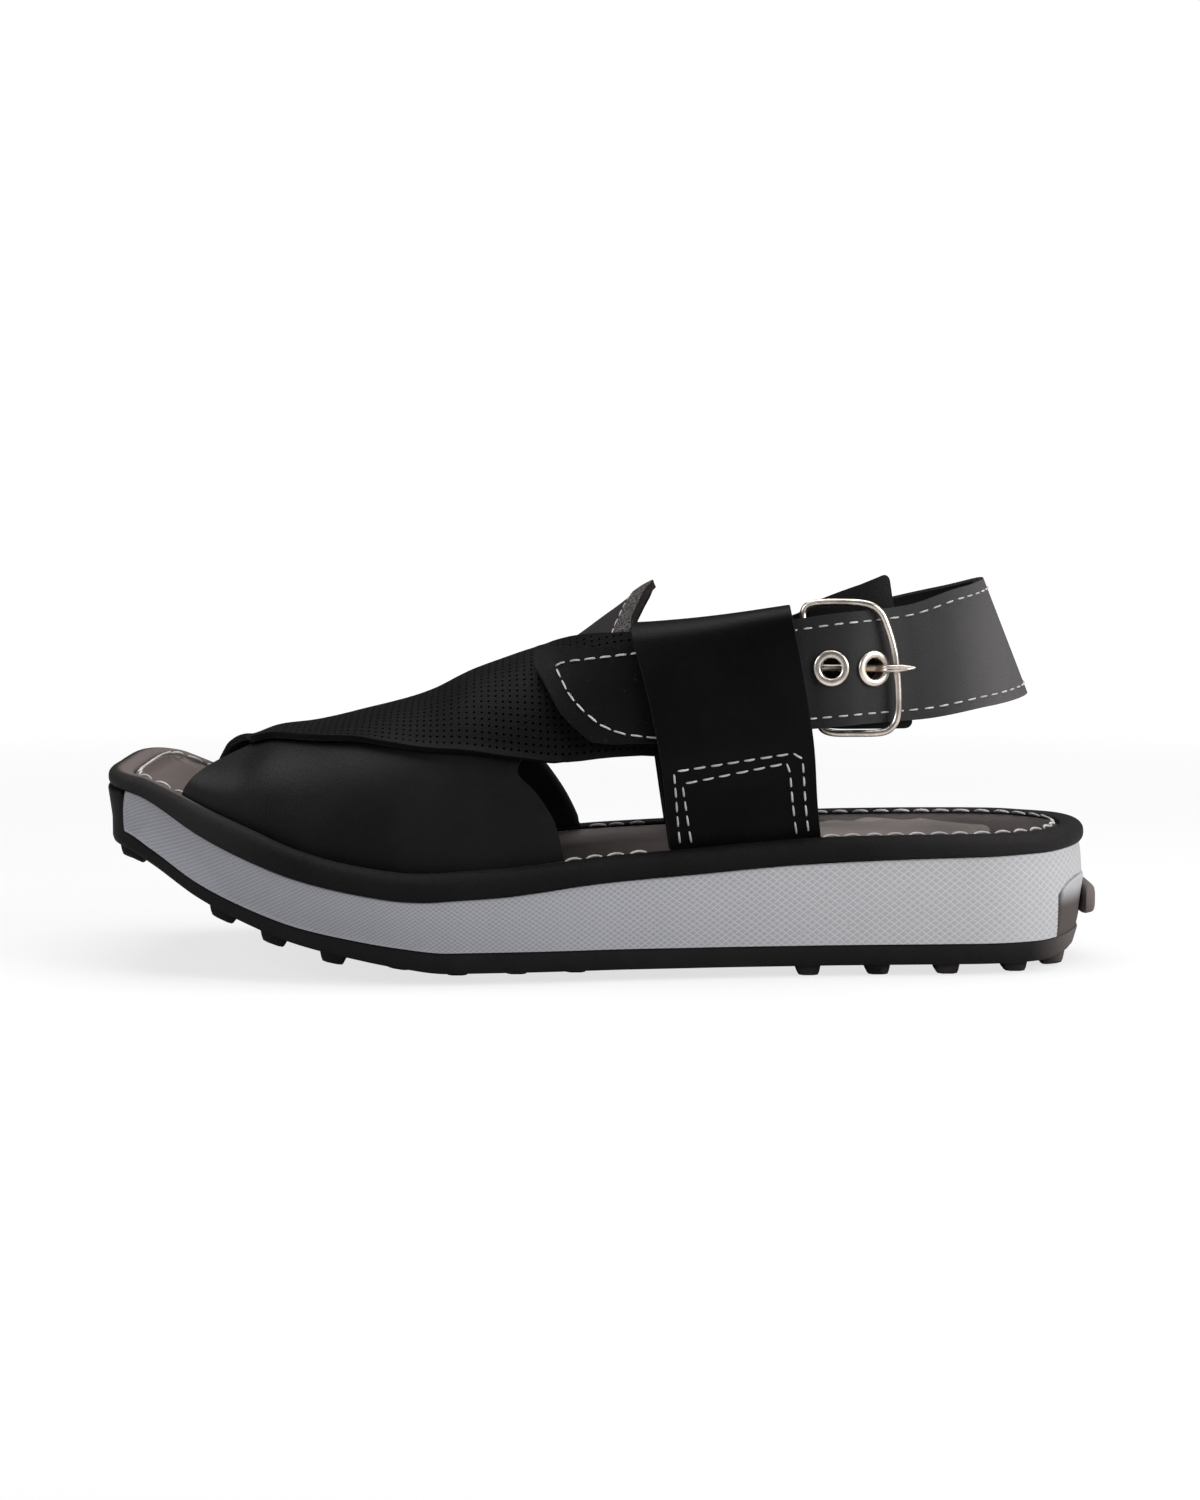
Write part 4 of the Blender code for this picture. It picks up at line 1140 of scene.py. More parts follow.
def makeFootbed():
    bm = bmesh.new()
    around = footbed["around"]
    inset = sole["weltWidth"] + sole["gap"]
    steps = (0.0004, 0.0008, 0.0012, 0.0017, 0.0023, 0.0032, 0.0044, 0.0058, 0.0070, 0.0085)
    rows = len(steps) + 1

    def underside(share):
        return midsoleTop(share) + sole["gap"]

    def chamferFoot(share):
        return footbedEdge(share) - footbed["chamfer"]

    def ring(u, fromEdge):               # the rings lie closer together round the toe
        away = ease((rimAt(u, 0).x - along(0) - footbed["toeFrom"]) / footbed["toeReach"])
        return rimAt(u, inset + fromEdge * blend(footbed["toeCrowding"], 1, away))

    def wall(u, v):
        j = round(v * rows)
        if j < 2:
            return rimLevel(u, inset, (underside, chamferFoot)[j])
        point = ring(u, steps[j - 2])
        point.z = footbedHeight(point, steps[j - 2])
        return point

    addGrid(bm, around, rows, wall)
    last = steps[-1]
    addCap(bm, around, footbed["across"], lambda u: ring(u, last), lambda at: footbedHeight(at, last))
    addCap(bm, around, 4, lambda u: rimLevel(u, inset, underside))
    keepPiece("footbed", bm, [footbedLeather], ["insole"], sharp=60)


makeFootbed()

# Heel sock: a bare oval patch, pressed down along its edge
heelSock = {
    "x": 0.083,
    "y": 0.0005,
    "halfLength": 0.0305,
    "halfWidth": 0.0222,
    "egg": 0.08,
    "proud": 0.0006,
    "buried": 0.0003,
    "pressed": 0.00035,
}


def makeHeelSock():
    bm = bmesh.new()

    def place(u, v):
        angle = 2 * math.pi * u
        radius = min(1.0, v * 1.15)
        x = heelSock["x"] + heelSock["halfLength"] * radius * math.cos(angle)
        wide = heelSock["halfWidth"] * (1 + heelSock["egg"] * math.cos(angle))
        point = Vector((x, heelSock["y"] + wide * radius * math.sin(angle), 0))
        edge = ease((1 - v) / 0.13)
        lift = heelSock["proud"] * edge - heelSock["buried"] * (1 - edge)
        point.z = footbedHeight(point, 0.02) + lift - heelSock["pressed"] * bell(radius - 0.88, 0.03)
        return point

    addGrid(bm, 120, 40, place)
    keepPiece("heelSock", bm, [heelSockLeather], sharp=60)


makeHeelSock()
print("footbed made")

# Bands of the upper: share of the girth, then front and rear edges as shares of the length
smoothBand = (
    (0.000, 0.084, 0.464),
    (0.050, 0.086, 0.454),
    (0.100, 0.089, 0.436),
    (0.145, 0.092, 0.418),
    (0.190, 0.096, 0.436),
    (0.250, 0.102, 0.485),
    (0.305, 0.109, 0.535),
    (0.350, 0.116, 0.535),
    (0.400, 0.124, 0.543),
    (0.450, 0.132, 0.551),
    (0.500, 0.138, 0.558),
    (0.540, 0.143, 0.556),
    (0.590, 0.162, 0.553),
    (0.640, 0.198, 0.545),
    (0.688, 0.256, 0.536),
    (0.740, 0.305, 0.533),
    (0.754, 0.320, 0.556),
    (0.792, 0.362, 0.630),
    (0.811, 0.383, 0.630),
    (0.859, 0.457, 0.630),
    (0.880, 0.507, 0.630),
    (0.903, 0.556, 0.630),
)
overBand = (
    (0.100, 0.556, 0.630),
    (0.120, 0.507, 0.630),
    (0.141, 0.457, 0.630),
    (0.189, 0.383, 0.630),
    (0.240, 0.326, 0.630),
    (0.267, 0.298, 0.600),
    (0.288, 0.277, 0.551),
    (0.312, 0.256, 0.538),
    (0.352, 0.210, 0.513),
    (0.400, 0.165, 0.492),
    (0.460, 0.143, 0.472),
    (0.500, 0.137, 0.460),
    (0.550, 0.132, 0.447),
    (0.600, 0.124, 0.436),
    (0.650, 0.116, 0.430),
    (0.700, 0.109, 0.423),
    (0.800, 0.097, 0.419),
    (0.855, 0.092, 0.422),
    (0.900, 0.089, 0.440),
    (0.950, 0.086, 0.460),
    (1.000, 0.084, 0.478),
)
bands = {
    "thickness": 0.0019,
    "overThickness": 0.0014,
    "liningFace": 0.00255,
    "liningThickness": 0.0005,
    "overFace": 0.0040,
    "lift": 0.0007,
    "liftReach": 0.010,
    "pitch": 0.00202,
    "cell": 0.00092,
    "hole": 0.00042,
    "land": 0.0004,
    "kink": 0.256,
    "farShare": 0.28,
    "farEnd": 0.4781,
}

frontOf, rearOf = track(smoothBand, 1), track(smoothBand, 2)
overFront, overRear = track(overBand, 1), track(overBand, 2)


def makeSmoothBand():
    bm = bmesh.new()

    def place(u, v):
        girth = smoothBand[-1][0] * u
        share = blend(frontOf(girth), rearOf(girth), v)
        return bandPoint(share, girth, bands["thickness"])

    addGrid(bm, 190, 84, place)
    sheet = {"inside": footLine, "thickness": bands["thickness"] - 0.0001, "edge": 0.0004}
    keepPiece("smoothBand", bm, [bandLeather, rawEdge], ["upper"], sheet)


def girthAtEdge(rows, column):           # the band's table read the other way round
    return track(sorted((row[column], row[0]) for row in rows), 1)


lowGirth = girthAtEdge(overBand, 1)
highGirth = girthAtEdge([row for row in overBand if 0.24 <= row[0] <= 0.8], 2)


def startGirth(share):                   # where the rows of holes are counted from
    kink = bands["kink"]
    if share >= kink:
        return lowGirth(share)
    return lowGirth(kink) + (kink - share) * 0.9


def overOff(share, girth):               # the front edge stands a little off the band below
    near = max(0.0, 1 - (share - overFront(girth)) * sole["length"] / bands["liftReach"])
    lift = bands["lift"] if girth > 0.14 else 0.0
    return bands["overFace"] + lift * near**2


def latticeLines(low, high):             # lines, and whether a hole starts at each
    pitch = bands["pitch"]
    cell = bands["cell"]
    lines = {low: False, high: False}
    for k in range(math.floor(low / pitch), math.ceil(high / pitch) + 1):
        start = k * pitch - cell / 2
        if start > low + cell / 2 and start + cell < high - cell / 2:
            lines[start] = True
            lines[start + cell] = False
    return sorted(lines.items())


def withLine(lines, value):
    kept = []
    for line, startsHole in lines:
        if line < value < line + bands["cell"] * 1.3:
            startsHole = False
        if abs(line - value) > bands["cell"] * 0.25:
            kept.append((line, startsHole))
    return sorted(kept + [(value, False)])


def addLattice(bm, columns, rows, place):
    made = addGrid(bm, len(columns) - 1, len(rows) - 1, place)
    uvLayer = bm.loops.layers.uv.verify()
    flag = bm.faces.layers.int["hole"]
    for face in {face for vert in made for face in vert.link_faces}:
        u = sum(loop[uvLayer].uv.x for loop in face.loops) / len(face.loops)
        v = sum(loop[uvLayer].uv.y for loop in face.loops) / len(face.loops)
        column = columns[int(u * (len(columns) - 1))]
        row = rows[int(v * (len(rows) - 1))]
        face[flag] = int(column[1] and row[1])


def girthsAt(share, start, end, lines, samples=70):   # girths at even steps of arc length
    girths = [blend(start, end, i / samples) for i in range(samples + 1)]
    arcs = runningLength([lastAtGirth(share, girth) for girth in girths])
    found = []
    for arc, _ in lines:
        k, t = findStep(arcs, arc)
        found.append(blend(girths[k], girths[k + 1], t))
    return found, arcs[-1]


def offLattice(girth):                   # how far the rear edge there is from between two holes
    return abs((overRear(girth) * sole["length"] / bands["pitch"]) % 1 - 0.5)


def addNearSide(bm, lines, seam):        # from the outer edge up to the seam over the instep
    length = sole["length"]
    arcLines = latticeLines(0.0, 0.090)
    columns = []
    for x, _ in lines:
        share = x / length
        top = min(seam, highGirth(share)) if share > overRear(seam) else seam
        bottom = min(lowGirth(share), top)
        column, _ = girthsAt(share, startGirth(share), 0.70, arcLines)
        columns.append([min(max(girth, bottom), top) for girth in column])

    def place(u, v):
        i = round(u * (len(lines) - 1))
        share = lines[i][0] / length
        girth = columns[i][round(v * (len(arcLines) - 1))]
        return bandPoint(share, girth, overOff(share, girth))

    addLattice(bm, lines, arcLines, place)


def addFarSide(bm, lines, seam):         # from that seam down to the inner edge
    share = bands["farShare"]
    _, reach = girthsAt(share, seam, 1.0, [], 200)
    arcLines = latticeLines(0.0, reach)
    girths, _ = girthsAt(share, seam, 1.0, arcLines, 200)

    def place(u, v):
        girth = girths[round(v * (len(girths) - 1))]
        where = lines[round(u * (len(lines) - 1))][0] / sole["length"]
        where = min(max(where, overFront(girth)), overRear(girth))
        return bandPoint(where, girth, overOff(where, girth))

    addLattice(bm, lines, arcLines, place)


def wholeHoles(bm):                      # the flagged squares that have room for a hole
    flag = bm.faces.layers.int["hole"]
    cell = bands["cell"]
    found = []
    for face in bm.faces:
        if not face[flag] or len(face.verts) != 4:
            continue
        beside = {edge for vert in face.verts for edge in vert.link_edges}
        sides = [edge.calc_length() for edge in face.edges]
        land = [edge.calc_length() for edge in beside if edge not in face.edges[:]]
        if any(edge.is_boundary for edge in beside) or len(land) != 8:
            continue
        if min(sides) > cell * 0.62 and max(sides) < cell * 1.3 and min(land) > bands["land"]:
            found.append(face)
    return found


def punchHoles(bm):                      # each square becomes a ring of eight points, then opens
    holes = wholeHoles(bm)
    bmesh.ops.bisect_edges(bm, edges=list({edge for face in holes for edge in face.edges}), cuts=1)
    for face in holes:
        centre = face.calc_center_median()
        normal = face.normal.copy()
        for vert in face.verts:
            away = vert.co - centre
            away -= normal * away.dot(normal)
            vert.co = centre + away.normalized() * bands["hole"]
    print("perforations:", len(holes))
    bmesh.ops.delete(bm, geom=holes, context="FACES_ONLY")


def makePerforatedBand():
    bm = bmesh.new()
    bm.faces.layers.int.new("hole")
    length = sole["length"]
    seam = min([0.56 + 0.001 * k for k in range(110)], key=offLattice)
    lines = latticeLines(0.084 * length, 0.63 * length)
    for edge in (overFront(seam), overRear(seam)):
        lines = withLine(lines, edge * length)
    addNearSide(bm, [line for line in lines if line[0] >= overFront(seam) * length], seam)
    addFarSide(bm, [line for line in lines if line[0] <= bands["farEnd"] * length], seam)
    bmesh.ops.remove_doubles(bm, verts=bm.verts, dist=5e-6)
    bm.normal_update()
    punchHoles(bm)
    sheet = {"inside": footLine, "thickness": bands["overThickness"]}
    band = keepPiece("perforatedBand", bm, [perforatedLeather], ["upper"], sheet)
    settle(band)
    band.data.set_sharp_from_angle(angle=math.radians(40))


def makeBandLining():                    # closes the holes from behind
    bm = bmesh.new()
    low = overBand[0][0]
    behind = bands["liningFace"] - bands["overFace"]

    def place(u, v):
        girth = blend(low, 1, u)
        share = blend(overFront(girth), overRear(girth), v)
        return bandPoint(share, girth, overOff(share, girth) + behind)

    addGrid(bm, 150, 60, place)
    sheet = {"inside": footLine, "thickness": bands["liningThickness"]}
    keepPiece("bandLining", bm, [liningLeather, rawEdge], ["upper"], sheet)


makeSmoothBand()
makePerforatedBand()
makeBandLining()
print("bands made")

# Loops: from the footbed (0) to the fold (1), how far the outer and inner faces stand off
loopTable = (
    (0.00, 0.10, -0.44),
    (0.10, 0.20, -0.44),
    (0.20, 0.48, -0.41),
    (0.29, 0.84, -0.35),
    (0.37, 1.13, -0.31),
    (0.44, 1.27, -0.29),
    (0.52, 1.31, -0.29),
    (0.70, 1.30, -0.29),
    (0.92, 1.26, -0.27),
    (0.98, 1.12, -0.12),
    (1.00, 0.92, 0.08),
)
loops = {
    "top": 0.1028,
    "rise": 0.0052,
    "medialDrop": 0.0060,
    "front": 0.0140,
    "width": 0.0430,
    "lean": 0.0088,
    "thickness": 0.0016,
    "turnFrom": 0.93,
    "faceShare": 0.45,
    "outerStart": 0.0007,
    "sag": 0.0005,
}

strap = {
    "thickness": 0.0030,
    "width": 0.0336,
    "height": 0.0937,
    "outerReach": 0.1517,
    "innerReach": 0.1190,
    "clearance": 0.0010,
    "swing": 0.0045,
    "bandFace": 0.0040,
    "innerFace": 0.0020,
    "flapStart": 0.0960,
    "holeRoom": 0.0008,
}
strapTable = (
    (-1.000, -0.500, 0.780),
    (-0.773, -0.470, 0.800),
    (-0.660, -0.420, 0.830),
    (-0.513, -0.240, 0.900),
    (-0.252, -0.095, 0.970),
    (0.000, -0.035, 1.000),
    (0.198, -0.070, 0.985),
    (0.310, -0.150, 0.950),
    (0.402, -0.185, 0.930),
    (0.500, -0.240, 0.905),
    (0.607, -0.320, 0.850),
    (0.811, -0.470, 0.726),
    (0.898, -0.505, 0.675),
    (0.930, -0.470, 0.560),
    (0.960, -0.415, 0.420),
    (0.985, -0.340, 0.220),
    (1.000, -0.305, 0.100),
)
swingTable = (
    (0.45, 0.00),
    (0.60, -0.45),
    (0.66, -0.60),
    (0.69, -0.58),
    (0.84, 0.36),
    (0.863, 0.42),
    (1.004, 0.00),
)
buckle = {
    "wire": 0.0010,
    "frameHeight": 0.0362,
    "levelFrom": 0.70,
    "barClearance": 0.0020,
    "height": 0.0873,
    "hinge": 0.0752,
    "bar": 0.0526,
    "lean": 0.14,
    "flapEndLean": 0.05,
    "flapThickness": 0.0020,
    "flapRoot": -0.0043,
    "flapDepth": -0.0005,
    "flapEnd": 0.0490,
    "flapCorner": 0.0024,
    "eyelets": (0.0700, 0.0580),
    "hole": 0.0029,
    "radius": 0.0051,
    "prong": 0.0009,
    "prongBend": 0.0080,
    "prongTip": 0.0040,
}

strapMiddle, strapWide = track(strapTable, 1), track(strapTable, 2)
swingAt = track(swingTable, 1)


def strapPlace(at):
    return at * (strap["outerReach"] if at > 0 else strap["innerReach"])


def strapLevel(at):
    middle = strap["height"] + strap["width"] * strapMiddle(at)
    half = strap["width"] * strapWide(at) / 2
    return middle - half, middle + half


def strapOff(distance):
    outer = strap["bandFace"] + strap["clearance"]
    inner = strap["innerFace"] + strap["clearance"]
    across = ease((distance + heel["arc"]) / (2 * heel["arc"]))
    return blend(inner, outer, across) + strap["swing"] * swingAt(distance / buckle["hinge"])


def loopPoint(x, height, side, off):
    distance = -side * (heel["arc"] + heel["centre"] - x)
    rise = wallOff(distance, height, off).z - height
    return wallOff(distance, height - rise, off)


def loopSurface(side):                   # up the outer face, over the fold and down the inner face
    slotIn = loops["outerStart"] if side < 0 else -sole["gap"]
    slotOut = strapOff(-side * strap["flapStart"]) + strap["thickness"] + 2 * sole["gap"]
    drop = loops["medialDrop"] if side > 0 else 0.0
    half = loops["thickness"] / 2
    turn = loops["turnFrom"]
    face = loops["faceShare"]

    def outerOff(t):
        return blend(slotIn, slotOut, smoothRead(loopTable, t, 1)) - half

    def innerOff(t):
        return blend(slotIn, slotOut, smoothRead(loopTable, t, 2)) + half

    def place(u, path):
        if path < face:
            t = turn * path / face
            off = outerOff(t)
        elif path > 1 - face:
            t = turn * (1 - path) / face
            off = innerOff(t)
        else:
            angle = (path - face) / (1 - 2 * face) * math.pi
            t = blend(turn, 1, math.sin(angle) ** 0.8)
            off = blend(outerOff(turn), innerOff(turn), (1 - math.cos(angle)) / 2)
        x = loops["front"] + loops["lean"] * (0.5 - t) + loops["width"] * u
        bottom = footbedEdge(shareAt(x)) + sole["gap"]
        sag = loops["sag"] * math.sin(math.pi * u) * ease((t - 0.6) / 0.4)
        top = loops["top"] + loops["rise"] * (u - 0.5) - drop - sag - half * 0.9
        return loopPoint(x, blend(bottom, top, t), side, off)

    return place


def makeLoop(name, side, node):
    bm = bmesh.new()
    addGrid(bm, 40, 130, loopSurface(side))
    bm.normal_update()
    highest = max(bm.faces, key=lambda face: face.calc_center_median().z)
    if highest.normal.z < 0:
        bmesh.ops.reverse_faces(bm, faces=bm.faces)
    sheet = {"thickness": loops["thickness"], "offset": 0, "edge": 0.0004}
    keepPiece(name, bm, [blackLeather, rawEdge], [node], sheet)


makeLoop("outerLoop", -1, "loop_lateral")
makeLoop("innerLoop", 1, "loop_medial")
print("loops made")


# Strap: two layers, with a hole for each eyelet
def strapPoint(at, t, off, inset=0.0):
    low, high = strapLevel(at)
    distance = strapPlace(at)
    return wallOff(distance, low + inset + (high - low - 2 * inset) * t, strapOff(distance) + off)


def placeOnStrap(distance):
    def face(height, where):
        return wallOff(where, height, strapOff(where) + strap["thickness"])

    origin = face(buckle["height"], distance)
    normal = (offSurface(face, buckle["height"], distance, 0.001) - origin).normalized()
    right = Vector((0, 0, 1)).cross(normal).normalized()
    turn = Matrix((right, normal.cross(right), normal)).transposed().to_4x4()
    return Matrix.Translation(origin) @ turn


def makeCutter(distance):
    bm = bmesh.new()
    radius = buckle["hole"] + strap["holeRoom"]
    bmesh.ops.create_cone(bm, cap_ends=True, segments=40, radius1=radius, radius2=radius, depth=0.012)
    bm.transform(placeOnStrap(distance))
    return addObject("punch", takeMesh("punch", bm))


def strapLayer(name, off, thickness, inset, look):
    bm = bmesh.new()

    def place(u, v):
        return strapPoint(u - (1 - u) ** 1.6, v, off, inset)

    addGrid(bm, 360, 20, place)
    sheet = {"inside": wallLine, "thickness": thickness, "edge": 0.00035}
    piece = keepPiece(name, bm, [look, rawEdge], ["heel_strap"], sheet)
    cutters = [makeCutter(distance) for distance in buckle["eyelets"]]
    for cutter in cutters:
        cut = piece.modifiers.new("punch", "BOOLEAN")
        cut.operation = "DIFFERENCE"
        cut.object = cutter
        cut.solver = "EXACT"
    settle(piece)
    for cutter in cutters:
        bpy.data.objects.remove(cutter)


strapLayer("strapFace", 0.0030, 0.0016, 0.0, strapLeather)
strapLayer("strapLining", 0.0013, 0.0012, 0.0003, liningLeather)
print("strap made")

# Flap behind the buckle: from its root to its free edge, middle, height and depth
flapTable = (
    (0.00, -0.290, 0.710, 0.0),
    (0.18, -0.250, 0.850, 0.0),
    (0.42, -0.210, 0.990, 0.0),
    (0.47, -0.181, 1.028, 1.0),
    (0.60, -0.147, 1.116, 1.0),
    (0.80, -0.095, 1.220, 1.0),
    (1.00, -0.050, 1.310, 1.0),
)


def makeFlap():
    bm = bmesh.new()

    def place(u, v):
        at = 1 - (1 - u) ** 1.4
        left = (strap["flapStart"] - buckle["flapEnd"]) * (1 - at)
        corner = buckle["flapCorner"]
        cut = corner - math.sqrt(max(0.0, corner**2 - max(0.0, corner - left) ** 2))
        middle = strap["height"] + strap["width"] * smoothRead(flapTable, at, 1)
        half = strap["width"] * smoothRead(flapTable, at, 2) / 2 - cut
        depth = smoothRead(flapTable, at, 3)
        off = blend(buckle["flapRoot"], buckle["flapDepth"], depth)
        height = middle + half - 2 * half * v
        lean = blend(buckle["lean"], buckle["flapEndLean"], at)
        distance = buckle["flapEnd"] + left + lean * (height - buckle["height"])
        return wallOff(distance, height, off + buckle["flapThickness"])

    addGrid(bm, 60, 34, place)
    sheet = {"inside": wallLine, "thickness": buckle["flapThickness"], "edge": 0.0004}
    keepPiece("buckleFlap", bm, [softLeather, rawEdge], ["buckle_base"], sheet)


makeFlap()


def curveThrough(points, closed, steps):
    count = len(points)
    out = []
    for i in range(count if closed else count - 1):
        first = points[(i - 1) % count] if closed or i > 0 else points[i]
        third = points[(i + 1) % count]
        fourth = points[(i + 2) % count] if closed or i < count - 2 else third
        out += [spline(first, points[i], third, fourth, k / steps) for k in range(steps)]
    if not closed:
        out.append(points[-1])
    return out


def sweep(bm, path, closed, sides, section):   # a section carried along a path without twisting
    count = len(path)
    tangents = []
    for i in range(count):
        before = path[i - 1] if closed or i else path[i]
        after = path[(i + 1) % count] if closed or i < count - 1 else path[i]
        tangents.append((after - before).normalized())
    away = Vector((0, -1, 0))

    def place(u, v):
        i = round(u * (count if closed else count - 1)) % count
        up = (away - tangents[i] * away.dot(tangents[i])).normalized()
        right = tangents[i].cross(up)
        x, y = section(i / (count - 1), round(v * sides) % sides / sides * 2 * math.pi)
        return path[i] + right * x + up * y

    addGrid(bm, count if closed else count - 1, sides, place)


frameTable = (
    (0.00, 0.00),
    (0.00, 0.60),
    (0.03, 0.88),
    (0.16, 0.98),
    (0.50, 1.00),
    (0.74, 0.97),
    (0.87, 0.84),
    (0.94, 0.58),
    (0.985, 0.28),
    (1.00, 0.00),
    (1.00, -0.35),
    (0.98, -0.68),
    (0.92, -0.88),
    (0.80, -0.98),
    (0.50, -1.00),
    (0.16, -1.00),
    (0.03, -0.90),
    (0.00, -0.60),
)


def wireDepths():                        # how far off the wire runs, behind the strap and before it
    behind = buckle["flapDepth"] + buckle["flapThickness"] + 2 * sole["gap"] + buckle["wire"]
    before = strapOff(buckle["bar"]) + strap["thickness"] + buckle["barClearance"] + buckle["wire"]
    return behind, before


def makeFrame():
    bm = bmesh.new()
    behind, before = wireDepths()
    wire = buckle["wire"]
    points = []
    for a, b in frameTable:
        height = buckle["height"] + buckle["frameHeight"] / 2 * b
        off = blend(behind, before, min(1.0, a / buckle["levelFrom"]))
        where = blend(buckle["hinge"], buckle["bar"], a)
        where += buckle["lean"] * (1 - a) * (height - buckle["height"])
        points.append(wallOff(where, height, off))
    path = curveThrough(points, True, 12)
    sweep(bm, path, True, 18, lambda t, angle: (wire * math.cos(angle), wire * math.sin(angle)))
    keepPiece("buckleFrame", bm, [nickel], ["buckle_frame"])


def makeProng():
    bm = bmesh.new()
    behind, before = wireDepths()
    gap = sole["gap"]
    hole = buckle["eyelets"][1]
    thin = buckle["prong"]
    bend = buckle["prongBend"]
    over = before + buckle["wire"] + gap + thin
    route = (
        (buckle["hinge"] - buckle["wire"] - gap - thin / 4, behind),
        (hole + bend, behind),
        (hole + bend / 2, behind + thin / 2),
        (hole + bend / 5, behind + 2 * thin),
        (hole - bend / 10, (behind + over) / 2),
        (hole - bend / 3, over - thin / 2),
        (buckle["bar"], over + gap / 2),
        (buckle["bar"] - buckle["prongTip"], over + gap),
    )

    def section(t, angle):               # flatter and grooved over the strap, thin at its tip
        if not 0 < t < 1:
            return 0.0, 0.0
        left = (1 - t) * (len(route) - 1)
        point = min(1.0, 0.10 + 1.1 * left**0.8)
        flat = thin * (0.80 + 0.20 * ease((0.6 - t) / 0.3))
        y = flat * math.sin(angle)
        if math.sin(angle) > 0:
            y -= 0.30 * thin * bell(math.cos(angle), 0.30) * ease((t - 0.5) / 0.1) * ease(left / 0.4)
        return 1.12 * thin * math.cos(angle) * point, y * min(1.0, point + 0.25)

    path = curveThrough([wallOff(d, buckle["height"], off) for d, off in route], False, 12)
    sweep(bm, path, False, 24, section)
    keepPiece("buckleProng", bm, [nickel], ["buckle_prong"])


eyelet = {"wall": 0.0005, "flange": 0.0008, "seat": 0.0003, "under": 0.0001}


def makeEyelet(number, distance):
    bm = bmesh.new()
    hole = buckle["hole"]
    radius = buckle["radius"]
    seat = eyelet["seat"]
    under = eyelet["under"]
    tube = hole + eyelet["wall"]
    bottom = -strap["thickness"]
    profile = [(hole, bottom), (hole, seat + under)]
    for k in range(1, 12):               # the rounded flange
        angle = math.pi * k / 12
        out = blend(hole, radius, (1 - math.cos(angle)) / 2)
        profile.append((out, seat + eyelet["flange"] * math.sin(angle) ** 0.7))
    profile += [(radius, seat), (radius - seat, under), (tube, under), (tube, bottom)]
    sides = len(profile)

    def place(u, v):
        r, z = profile[round(v * sides) % sides]
        angle = 2 * math.pi * u
        return Vector((r * math.cos(angle), r * math.sin(angle), z))

    addGrid(bm, 56, sides, place)
    bm.transform(placeOnStrap(distance))
    keepPiece(f"eyelet{number}", bm, [nickel], [f"eyelet_{number}"], sharp=50)


makeFrame()
makeProng()
for number, distance in enumerate(buckle["eyelets"], 1):
    makeEyelet(number, distance)
print("buckle made")

# Stitches: short twists of thread that dip into the leather at both ends
strapSeam = {"inset": 0.0029, "from": -0.97, "to": 0.74, "steps": 500}
seamHides = {
    "bandFront": -0.1190,
    "outerRear": -0.0105,
    "innerRear": -0.0070,
    "loopFront": 0.0150,
    "loopRear": 0.0620,
}
stitches = {
    "footbed": {"pitch": 0.0062, "radius": 0.00038, "share": 0.84, "sideArc": -0.0011, "lift": 0.7},
    "strapEdge": {"pitch": 0.0044, "radius": 0.00029, "share": 0.64},
    "freeEnd": {"pitch": 0.0045, "radius": 0.00030, "share": 0.78},
    "loop": {"pitch": 0.0047, "radius": 0.00031, "share": 0.74},
    "peak": {"pitch": 0.0040, "radius": 0.00034, "share": 0.80, "sideArc": 0.0003},
}


def addStitch(bm, start, end, normal, radius, sideArc, lift):
    middle = (start + end) / 2
    lengthwise = (end - start) / 2
    side = lengthwise.cross(normal).normalized()
    verts = bmesh.ops.create_uvsphere(bm, u_segments=6, v_segments=6, radius=1)["verts"]
    for vert in verts:
        x, y, z = vert.co
        ring = math.hypot(x, y)
        full = (1 - abs(z) ** 3.2) ** (1 / 3.2) if abs(z) < 1 else 0.0
        scale = full / ring if ring > 1e-4 else 0.0
        bow = 1 - z * z
        out = radius * (lift * (2 * bow - 1) + y * scale)
        vert.co = middle + lengthwise * z + side * (x * scale * radius + sideArc * bow) + normal * out


def stitchLine(bm, path, pitch, radius, share, sideArc=0.0, lift=0.5, skip=None):
    lengths = runningLength([point for point, _ in path])
    count = max(1, round(lengths[-1] / pitch))
    pitch = lengths[-1] / count

    def at(length):
        k, t = findStep(lengths, min(max(length, 0.0), lengths[-1]))
        return path[k][0].lerp(path[k + 1][0], t), path[k][1].lerp(path[k + 1][1], t).normalized()

    for k in range(count):
        jitter = random.uniform(-0.04, 0.04) * pitch
        long = pitch * share * random.uniform(0.93, 1.05)
        middle = (k + 0.5) * pitch + jitter
        start, normal = at(middle - long / 2)
        end, _ = at(middle + long / 2)
        if skip and skip(start.lerp(end, 0.5)):
            continue
        addStitch(bm, start, end, normal, radius, sideArc, lift)


def surfacePath(pointAt, spots, off):    # points on a surface, each with the way out of it
    path = []
    step = 0.002
    for u, v in spots:
        here = pointAt(u, v)
        normal = (pointAt(u + step, v) - here).cross(pointAt(u, v + step) - here).normalized()
        inside = Vector((min(here.x, heel["centre"]), 0, 0.05))
        if (here - inside).dot(normal) < 0:
            normal.negate()
        path.append((here + normal * off, normal))
    return path


def sewnIn(point):                       # the bands and loops hide the stitches there
    bandRear = seamHides["outerRear"] if point.y < 0 else seamHides["innerRear"]
    underBand = seamHides["bandFront"] < point.x < bandRear
    return underBand or seamHides["loopFront"] < point.x < seamHides["loopRear"]


def makeFootbedStitches():
    bm = bmesh.new()
    path = []
    inset = sole["weltWidth"] + sole["gap"] + footbed["stitchInset"]
    steps = 900
    for i in range(steps + 1):
        point = rimLevel(i / steps, inset, footbedEdge)
        point.z += footbed["stitchRise"]
        path.append((point, Vector((0, 0, 1))))
    stitchLine(bm, path, **stitches["footbed"], skip=sewnIn)
    keepPiece("footbedStitches", bm, [thread], sharp=80)


